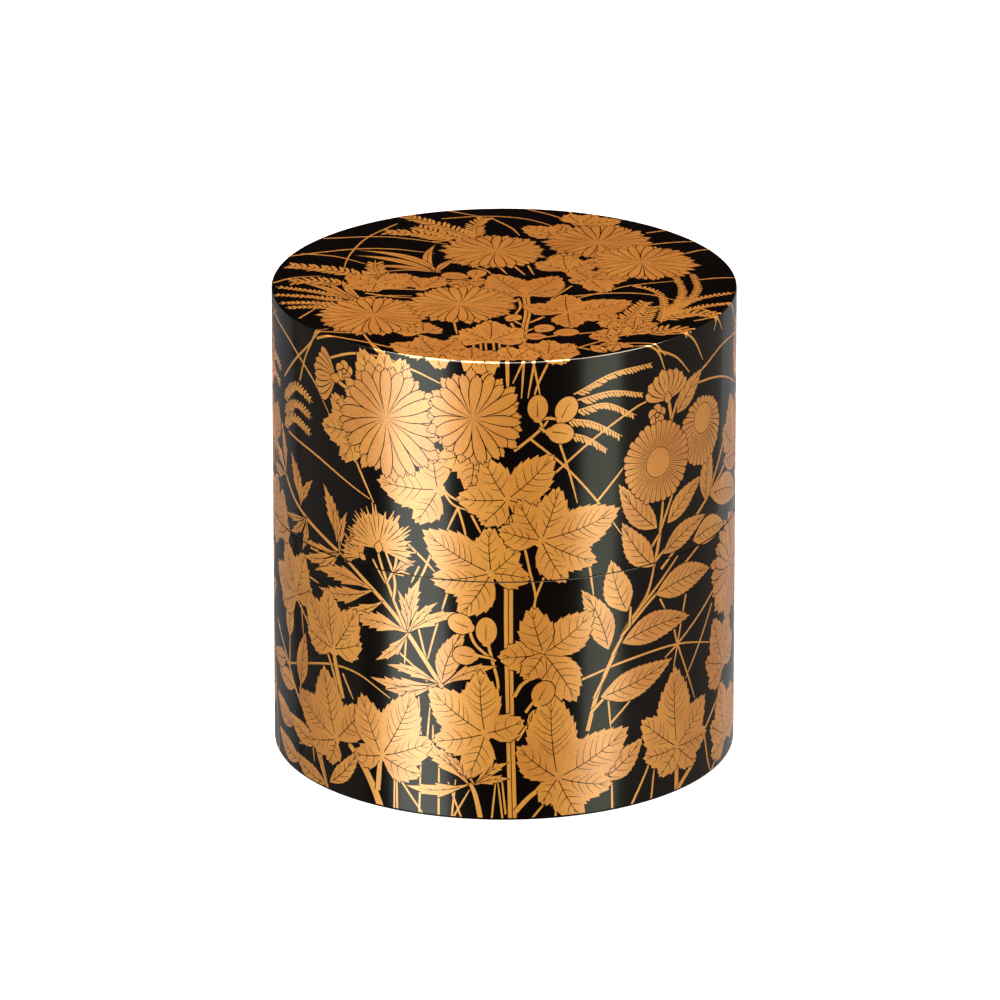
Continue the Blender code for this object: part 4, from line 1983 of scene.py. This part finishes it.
@dataclass
class Turning:
    """A lathe-turned shell.

    Attributes:
        name: Name of the piece.
        corners: Its profile, from the axis out and round to the axis again.
        finish: Its material.
        node: The CAD node that it stands for.
        steps: Number of facets round it.
        crease: Angle in degrees from which an edge between two faces looks sharp.
    """

    name: str
    corners: Sequence[Corner]
    finish: bpy.types.Material
    node: str
    steps: int = 288
    crease: float = 35.0

    def build(self) -> bpy.types.Object:
        """Spins the profile, rounds its rims and dresses it.

        Returns:
            The piece.
        """
        shape = bmesh.new()
        places = [(c.radius * MM, 0.0, c.height * MM) for c in self.corners]
        points = [shape.verts.new(place) for place in places]
        edges = [shape.edges.new(pair) for pair in zip(points, points[1:])]
        bmesh.ops.spin(
            shape,
            geom=points + edges,
            cent=(0, 0, 0),
            axis=(0, 0, 1),
            angle=math.tau,
            steps=self.steps,
            use_merge=True,
        )
        bmesh.ops.remove_doubles(shape, verts=shape.verts[:], dist=SAME_PLACE)
        bmesh.ops.recalc_face_normals(shape, faces=shape.faces[:])
        for corner in self.corners:
            if corner.rounding:
                self.round_rim(shape, corner)
        mesh = bpy.data.meshes.new(self.name)
        shape.to_mesh(mesh)
        shape.free()
        mesh.materials.append(self.finish)
        mesh.shade_smooth()
        mesh.set_sharp_from_angle(angle=math.radians(self.crease))
        piece = add_object(self.name, mesh)
        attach(piece, "root")
        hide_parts(self.node)
        LOG.info("%s: %d faces", self.name, len(mesh.polygons))
        return piece

    def round_rim(self, shape: bmesh.types.BMesh, corner: Corner) -> None:
        """Rounds the rim that one corner of the profile makes.

        Args:
            shape: The turned shell.
            corner: The corner.
        """

        def on_rim(point: bmesh.types.BMVert) -> bool:
            """Whether a point lies on the rim."""
            out = math.hypot(point.co.x, point.co.y) - corner.radius * MM
            return max(abs(out), abs(point.co.z - corner.height * MM)) < SAME_PLACE

        rim = [edge for edge in shape.edges if all(on_rim(point) for point in edge.verts)]
        bmesh.ops.bevel(
            shape,
            geom=rim,
            offset=corner.rounding * MM,
            offset_type="OFFSET",
            affect="EDGES",
            segments=corner.segments,
            profile=0.5,
            material=-1,
        )


@dataclass
class Caddy:
    """The two turned shells of the caddy.

    Attributes:
        outside: The outer surface, to the face of the gold.
        finish: Material of the lacquer.
        under_gold: How far the lacquer lies inside the outer surface.
        ring_width: Width of the foot ring.
        recess: Depth of the recess in the underside.
        well_radius: Radius of the well.
        floor: Height of the well's floor.
        well_corner: Radius of the well's corner.
        lip_radius: Outer radius of the upright lip.
        lip_top: Height of the lip's rim.
        lip_edge: Radius of the rim's two edges.
        bore: Radius of the lid's bore.
        ceiling: Height of the lid's ceiling.
        lid_corner: Radius of the corner inside the lid.
        bore_edge: Radius of the edge at the bore's mouth.
        seam_edge: Radius of the two edges at the seam.
        base_arris: Radius of the lower edge.
        crown_rings: Number of rings that the crown is turned in.
    """

    outside: Outside
    finish: bpy.types.Material
    under_gold: float = 0.008
    ring_width: float = 5.0
    recess: float = 0.5
    well_radius: float = 30.1
    floor: float = 3.5
    well_corner: float = 4.0
    lip_radius: float = 31.3
    lip_top: float = 45.0
    lip_edge: float = 0.4
    bore: float = 31.5
    ceiling: float = 66.2
    lid_corner: float = 2.5
    bore_edge: float = 0.3
    seam_edge: float = 0.06
    base_arris: float = 0.5
    crown_rings: int = 8

    def body(self) -> bpy.types.Object:
        """The cup with its upright lip.

        Returns:
            The piece.
        """
        radius = self.outside.radius - self.under_gold
        ring = self.outside.radius - self.ring_width
        corners = (
            Corner(0.0, self.recess),
            Corner(ring - self.recess, self.recess),
            Corner(ring, 0.0),
            Corner(radius, 0.0, self.base_arris),
            Corner(radius, self.outside.shoulder, self.seam_edge, 4),
            Corner(self.lip_radius, self.outside.shoulder),
            Corner(self.lip_radius, self.lip_top, self.lip_edge, 4),
            Corner(self.well_radius, self.lip_top, self.lip_edge, 4),
            Corner(self.well_radius, self.floor, self.well_corner, 8),
            Corner(0.0, self.floor),
        )
        return Turning("lacquered_body", corners, self.finish, "caddy_body").build()

    def lid(self) -> bpy.types.Object:
        """The deep lid with its crowned top.

        Returns:
            The piece.
        """
        radius = self.outside.radius - self.under_gold
        edge = self.outside.height - self.outside.crown - self.under_gold
        crown = []
        for share in np.linspace(1, 0, self.crown_rings + 1)[1:]:
            height = self.outside.height - self.outside.crown * share**2 - self.under_gold
            crown.append(Corner(self.outside.radius * share, height))
        corners = (
            Corner(0.0, self.ceiling),
            Corner(self.bore, self.ceiling, self.lid_corner, 8),
            Corner(self.bore, self.outside.mouth, self.bore_edge, 4),
            Corner(radius, self.outside.mouth, self.seam_edge, 4),
            Corner(radius, edge, self.outside.arris - self.under_gold, 10),
            *crown,
        )
        return Turning("lacquered_lid", corners, self.finish, "caddy_lid").build()

    def build(self) -> None:
        """Turns both shells."""
        self.body()
        self.lid()


def linear(code: str) -> tuple[float, float, float, float]:
    """Turns a screen colour to a linear one.

    Args:
        code: An sRGB hex code such as #a0b1c2.

    Returns:
        Its linear red, green and blue, and an alpha of 1.
    """
    values = [int(code[at : at + 2], 16) / 255 for at in (1, 3, 5)]
    red, green, blue = (v / 12.92 if v <= 0.04045 else ((v + 0.055) / 1.055) ** 2.4 for v in values)
    return red, green, blue, 1.0


def add_object(name: str, data: bpy.types.ID) -> bpy.types.Object:
    """Makes an object and puts it in the scene.

    Args:
        name: Its name.
        data: Its mesh, light or camera.

    Returns:
        The object.
    """
    made = bpy.data.objects.new(name, data)
    bpy.context.scene.collection.objects.link(made)
    return made


def add_node(tree: bpy.types.NodeTree, kind: str, settings: dict, links: dict) -> bpy.types.Node:
    """Adds a node.

    Args:
        tree: The tree it goes in.
        kind: Its type, without the ShaderNode in front.
        settings: Its properties by name, and the values of its sockets by name or number.
        links: For each of its input sockets, by name or number, the socket that feeds it.

    Returns:
        The node.
    """
    node = tree.nodes.new(f"ShaderNode{kind}")
    for key, value in settings.items():
        if isinstance(key, str) and hasattr(node, key):
            setattr(node, key, value)
        else:
            node.inputs[key].default_value = value
    for key, source in links.items():
        tree.links.new(source, node.inputs[key])
    return node


def new_material(name: str) -> tuple[bpy.types.Material, bpy.types.Node, bpy.types.Node]:
    """Makes a material.

    Args:
        name: Its name.

    Returns:
        The material, its shader, and the node that gives places in millimetres.
    """
    material = bpy.data.materials.new(name)
    material.use_nodes = True
    tree = material.node_tree
    places = add_node(tree, "TexCoord", {}, {})
    scaled = add_node(
        tree, "Mapping", {"Scale": (1 / MM,) * 3}, {"Vector": places.outputs["Object"]}
    )
    return material, tree.nodes["Principled BSDF"], scaled


@dataclass(frozen=True)
class BlackLacquer:
    """Polished black urushi over turned wood.

    Attributes:
        colour: Colour of the lacquer, a warm near-black.
        roughness: Sheen of a surface rubbed up with fine powder.
        haze: Size of the faint cloudy differences in polish, in millimetres.
        swell: Size of the slow waves that hand polishing leaves, in millimetres.
        depth: Depth of these waves, in metres.
        specular: Specular level of the lacquer.
    """

    colour: str = "#080505"
    roughness: float = 0.17
    haze: float = 6.0
    swell: float = 9.0
    depth: float = 0.00002
    specular: float = 0.52

    def material(self) -> bpy.types.Material:
        """Makes the material.

        Returns:
            The material.
        """
        # Many thin rubbed coats give the eye a deep black with soft-edged bands of reflected light
        material, shader, places = new_material("black_urushi_polished")
        tree = material.node_tree
        place = {"Vector": places.outputs["Vector"]}
        cloud = add_node(tree, "TexNoise", {"Scale": 1 / self.haze, "Detail": 3.0}, place)
        polish = add_node(
            tree,
            "MapRange",
            {"To Min": self.roughness * 0.85, "To Max": self.roughness * 1.2},
            {"Value": cloud.outputs["Fac"]},
        )
        wave = add_node(tree, "TexNoise", {"Scale": 1 / self.swell, "Detail": 1.0}, place)
        bump = add_node(
            tree,
            "Bump",
            {"Strength": 0.25, "Distance": self.depth},
            {"Height": wave.outputs["Fac"]},
        )
        shader.inputs["Base Color"].default_value = linear(self.colour)
        shader.inputs["Metallic"].default_value = 0.0
        shader.inputs["Specular IOR Level"].default_value = self.specular
        tree.links.new(polish.outputs["Result"], shader.inputs["Roughness"])
        tree.links.new(bump.outputs["Normal"], shader.inputs["Normal"])
        return material


@dataclass(frozen=True)
class GoldPowder:
    """Gold powder sprinkled on wet lacquer and burnished flat.

    Attributes:
        deep: Colour where the powder lies thin and the ground shows through.
        bright: Colour where it lies thick.
        grain: Size of the visible grain in millimetres. Real powder is about 0.03, and it is drawn
            coarser so that it shows.
        drift: Size of the slow changes in how thick the powder lies, in millimetres.
        metallic: Share of the surface that is metal.
        roughness: Mean roughness of the burnished powder.
        amount: How thick the powder lies where the next three add nothing.
        by_motif: How much a motif's tone adds.
        by_drift: How much the slow changes add.
        by_grain: How much the grain adds.
        relief: Depth of the grain, in metres.
        coat_roughness: Roughness of the clear lacquer that fixes the powder.
        coat_ior: Its index of refraction, above that of lacquer because metal right under it
            mirrors too.
    """

    deep: str = "#d07c27"
    bright: str = "#f7b043"
    grain: float = 0.15
    drift: float = 5.0
    metallic: float = 0.5
    roughness: float = 0.4
    amount: float = -1.4
    by_motif: float = 0.5
    by_drift: float = 1.1
    by_grain: float = 2.6
    relief: float = 0.00001
    coat_roughness: float = 0.29
    coat_ior: float = 2.2

    def material(self) -> bpy.types.Material:
        """Makes the material.

        Returns:
            The material.
        """
        # Burnished powder gives the eye a satin gold with a fine sparkle, browner where it is thin
        material, shader, places = new_material("gold_powder_burnished")
        tree = material.node_tree
        place = {"Vector": places.outputs["Vector"]}
        tone = add_node(
            tree, "Attribute", {"attribute_name": "tone", "attribute_type": "GEOMETRY"}, {}
        )
        grain = add_node(tree, "TexNoise", {"Scale": 1 / self.grain, "Detail": 2.0}, place)
        drift = add_node(tree, "TexNoise", {"Scale": 1 / self.drift, "Detail": 2.0}, place)
        added = {"operation": "MULTIPLY_ADD", 1: self.by_motif, 2: self.amount}
        thick = add_node(tree, "Math", added, {0: tone.outputs["Fac"]})
        for source, share in ((drift, self.by_drift), (grain, self.by_grain)):
            links = {0: source.outputs["Fac"], 2: thick.outputs[0]}
            thick = add_node(tree, "Math", {"operation": "MULTIPLY_ADD", 1: share}, links)
        colour = add_node(
            tree,
            "Mix",
            {"data_type": "RGBA", 6: linear(self.deep), 7: linear(self.bright)},
            {0: thick.outputs[0]},
        )
        rough = add_node(
            tree,
            "MapRange",
            {"To Min": self.roughness * 0.8, "To Max": self.roughness * 1.2},
            {"Value": grain.outputs["Fac"]},
        )
        bump = add_node(
            tree,
            "Bump",
            {"Strength": 0.35, "Distance": self.relief},
            {"Height": grain.outputs["Fac"]},
        )
        shader.inputs["Metallic"].default_value = self.metallic
        shader.inputs["Coat Weight"].default_value = 1.0
        shader.inputs["Coat Roughness"].default_value = self.coat_roughness
        shader.inputs["Coat IOR"].default_value = self.coat_ior
        tree.links.new(colour.outputs[2], shader.inputs["Base Color"])
        tree.links.new(rough.outputs["Result"], shader.inputs["Roughness"])
        tree.links.new(bump.outputs["Normal"], shader.inputs["Normal"])
        return material


@dataclass(frozen=True)
class Softbox:
    """A rectangular soft light.

    Attributes:
        name: Its name.
        azimuth: Where it stands in degrees, 0 at the camera's side and 90 at the right.
        elevation: Its height above the table as an angle in degrees.
        width: Its width in metres.
        height: Its height in metres.
        radiance: How bright its face is.
        distance: How far it stands from the caddy in metres.
        upright: Whether it stays upright, and otherwise it faces the caddy.
        colour: Its colour.
        mirrored_only: Whether it shows only in mirroring surfaces and lights no matt ones.
        unmirrored: Whether it lights matt surfaces only and shows in no mirroring ones.
    """

    name: str
    azimuth: float
    elevation: float
    width: float
    height: float
    radiance: float
    distance: float = 1.0
    upright: bool = False
    colour: str = "#ffffff"
    mirrored_only: bool = False
    unmirrored: bool = False

    def build(self, aim: Vector) -> None:
        """Hangs the light.

        Args:
            aim: The point that its place is counted from.
        """
        light = bpy.data.lights.new(self.name, "AREA")
        light.color = linear(self.colour)[:3]
        light.shape = "RECTANGLE"
        light.size = self.width
        light.size_y = self.height
        light.energy = self.radiance * math.pi * self.width * self.height
        turn, rise = math.radians(self.azimuth), math.radians(self.elevation)
        level = math.cos(rise)
        way = Vector((math.sin(turn) * level, -math.cos(turn) * level, math.sin(rise)))
        lamp = add_object(self.name, light)
        lamp.location = aim + way * self.distance
        facing = way * Vector((1, 1, 0)) if self.upright else way
        lamp.rotation_euler = facing.to_track_quat("Z", "Y").to_euler()
        lamp.visible_camera = False
        lamp.visible_diffuse = not self.mirrored_only
        lamp.visible_glossy = not self.unmirrored


@dataclass(frozen=True)
class Studio:
    """Floor, lights and camera.

    Attributes:
        aim: Height of the point that the camera is level with, in metres.
        distance: Distance of the camera from the axis at that height, in metres.
        elevation: Angle that the camera looks down at, in degrees.
        lens: Focal length in millimetres on a sensor 36 mm wide.
        floor_reach: Half the length of a side of the floor, in metres.
        floor_glow: Light that the floor gives off itself, which keeps its far part pale.
        shift: Shift of the picture that the framing needs, across and up.
        softboxes: The lights.
    """

    aim: float = 0.03445
    distance: float = 1.55741
    elevation: float = 20.546
    lens: float = 392.5
    floor_reach: float = 8.0
    floor_glow: float = 0.8
    shift: tuple[float, float] = (-0.00418, 0.01033)
    softboxes: Sequence[Softbox] = (
        Softbox("strip_left", -42.5, 0, 0.52, 2.2, 2.75, colour="#fafff0", upright=True),
        Softbox("strip_right", 48.5, 0, 0.34, 2.2, 1.7, colour="#f8ffe6", upright=True),
        Softbox("wall_right", 97, -10, 1.9, 1.8, 0.2, 1.0, True, "#ffeedc"),
        Softbox("fill_right", 74, -10, 1.4, 1.8, 0.7, 1.0, True, "#ffe8cc", unmirrored=True),
        Softbox("wall_left", -98, -10, 0.9, 1.8, 0.17, 1.0, True, "#ffeedc"),
        Softbox("fill_left", -76, -10, 1.4, 1.8, 0.38, 1.0, True, "#ffe8cc", unmirrored=True),
        Softbox("sweep_left", -152, -20, 0.9, 0.7, 0.22, upright=True),
        Softbox("sweep_right", 160, -20, 0.8, 0.7, 0.36, upright=True),
        Softbox("front", 0, 42, 0.9, 0.7, 3.5, colour="#ffebe6"),
        Softbox("overhead", 0, 75, 1.2, 1.0, 2.9, colour="#ffd7cc", unmirrored=True),
        Softbox("bar", 4, 62, 1.6, 0.31, 26, colour="#ffe9d2", mirrored_only=True),
        Softbox("bar_left", -90, 68, 0.26, 0.46, 28, colour="#ffe9d2", mirrored_only=True),
        Softbox("bar_right", 84, 53, 0.4, 0.4, 24, colour="#ffe9d2", mirrored_only=True),
    )

    def camera(self) -> None:
        """The camera at the photograph's angle."""
        data = bpy.data.cameras.new("camera")
        data.lens = self.lens
        data.sensor_width = 36.0
        data.shift_x, data.shift_y = self.shift
        data.clip_start, data.clip_end = 0.05, 50.0
        camera = add_object("camera", data)
        rise = math.radians(self.elevation)
        way = Vector((0, -math.cos(rise), math.sin(rise)))
        camera.location = Vector((0, 0, self.aim)) + way * self.distance
        camera.rotation_euler = way.to_track_quat("Z", "Y").to_euler()
        bpy.context.scene.camera = camera

    def floor(self) -> None:
        """A large pale floor that is seen but throws no light back on the caddy."""
        shape = bmesh.new()
        bmesh.ops.create_grid(shape, x_segments=1, y_segments=1, size=self.floor_reach)
        mesh = bpy.data.meshes.new("studio_floor")
        shape.to_mesh(mesh)
        shape.free()
        material = bpy.data.materials.new("pale_floor")
        material.use_nodes = True
        shader = material.node_tree.nodes["Principled BSDF"]
        shader.inputs["Base Color"].default_value = linear("#f4f4f4")
        shader.inputs["Roughness"].default_value = 0.9
        shader.inputs["Specular IOR Level"].default_value = 0.1
        shader.inputs["Emission Color"].default_value = linear("#ffffff")
        shader.inputs["Emission Strength"].default_value = self.floor_glow
        mesh.materials.append(material)
        floor = add_object("studio_floor", mesh)
        floor.visible_glossy = False
        floor.visible_diffuse = False
        floor.visible_shadow = False

    def world(self) -> None:
        """Pale surroundings to look at, dim ones as light."""
        world = bpy.data.worlds.new("studio")
        world.use_nodes = True
        tree = world.node_tree
        tree.nodes.clear()
        path = add_node(tree, "LightPath", {}, {})
        seen = add_node(tree, "Background", {"Color": linear("#f4f4f4")}, {})
        around = add_node(
            tree, "Background", {"Color": linear("#d8ccc4"), "Strength": 0.012}, {}
        )
        mix = add_node(
            tree,
            "MixShader",
            {},
            {0: path.outputs["Is Camera Ray"], 1: around.outputs[0], 2: seen.outputs[0]},
        )
        add_node(tree, "OutputWorld", {}, {"Surface": mix.outputs[0]})
        bpy.context.scene.world = world

    def build(self) -> None:
        """Sets everything up."""
        bpy.context.scene.view_settings.view_transform = "Standard"
        self.camera()
        self.floor()
        self.world()
        for softbox in self.softboxes:
            softbox.build(Vector((0, 0, self.aim)))


def main() -> None:
    """Builds the caddy and the studio in order."""
    logging.basicConfig(level=logging.INFO, format="%(message)s")
    outside = Outside()
    Studio().build()
    Caddy(outside, BlackLacquer().material()).build()
    GoldLayer(outside, GoldPowder().material()).build()


if __name__ == "__main__":
    main()
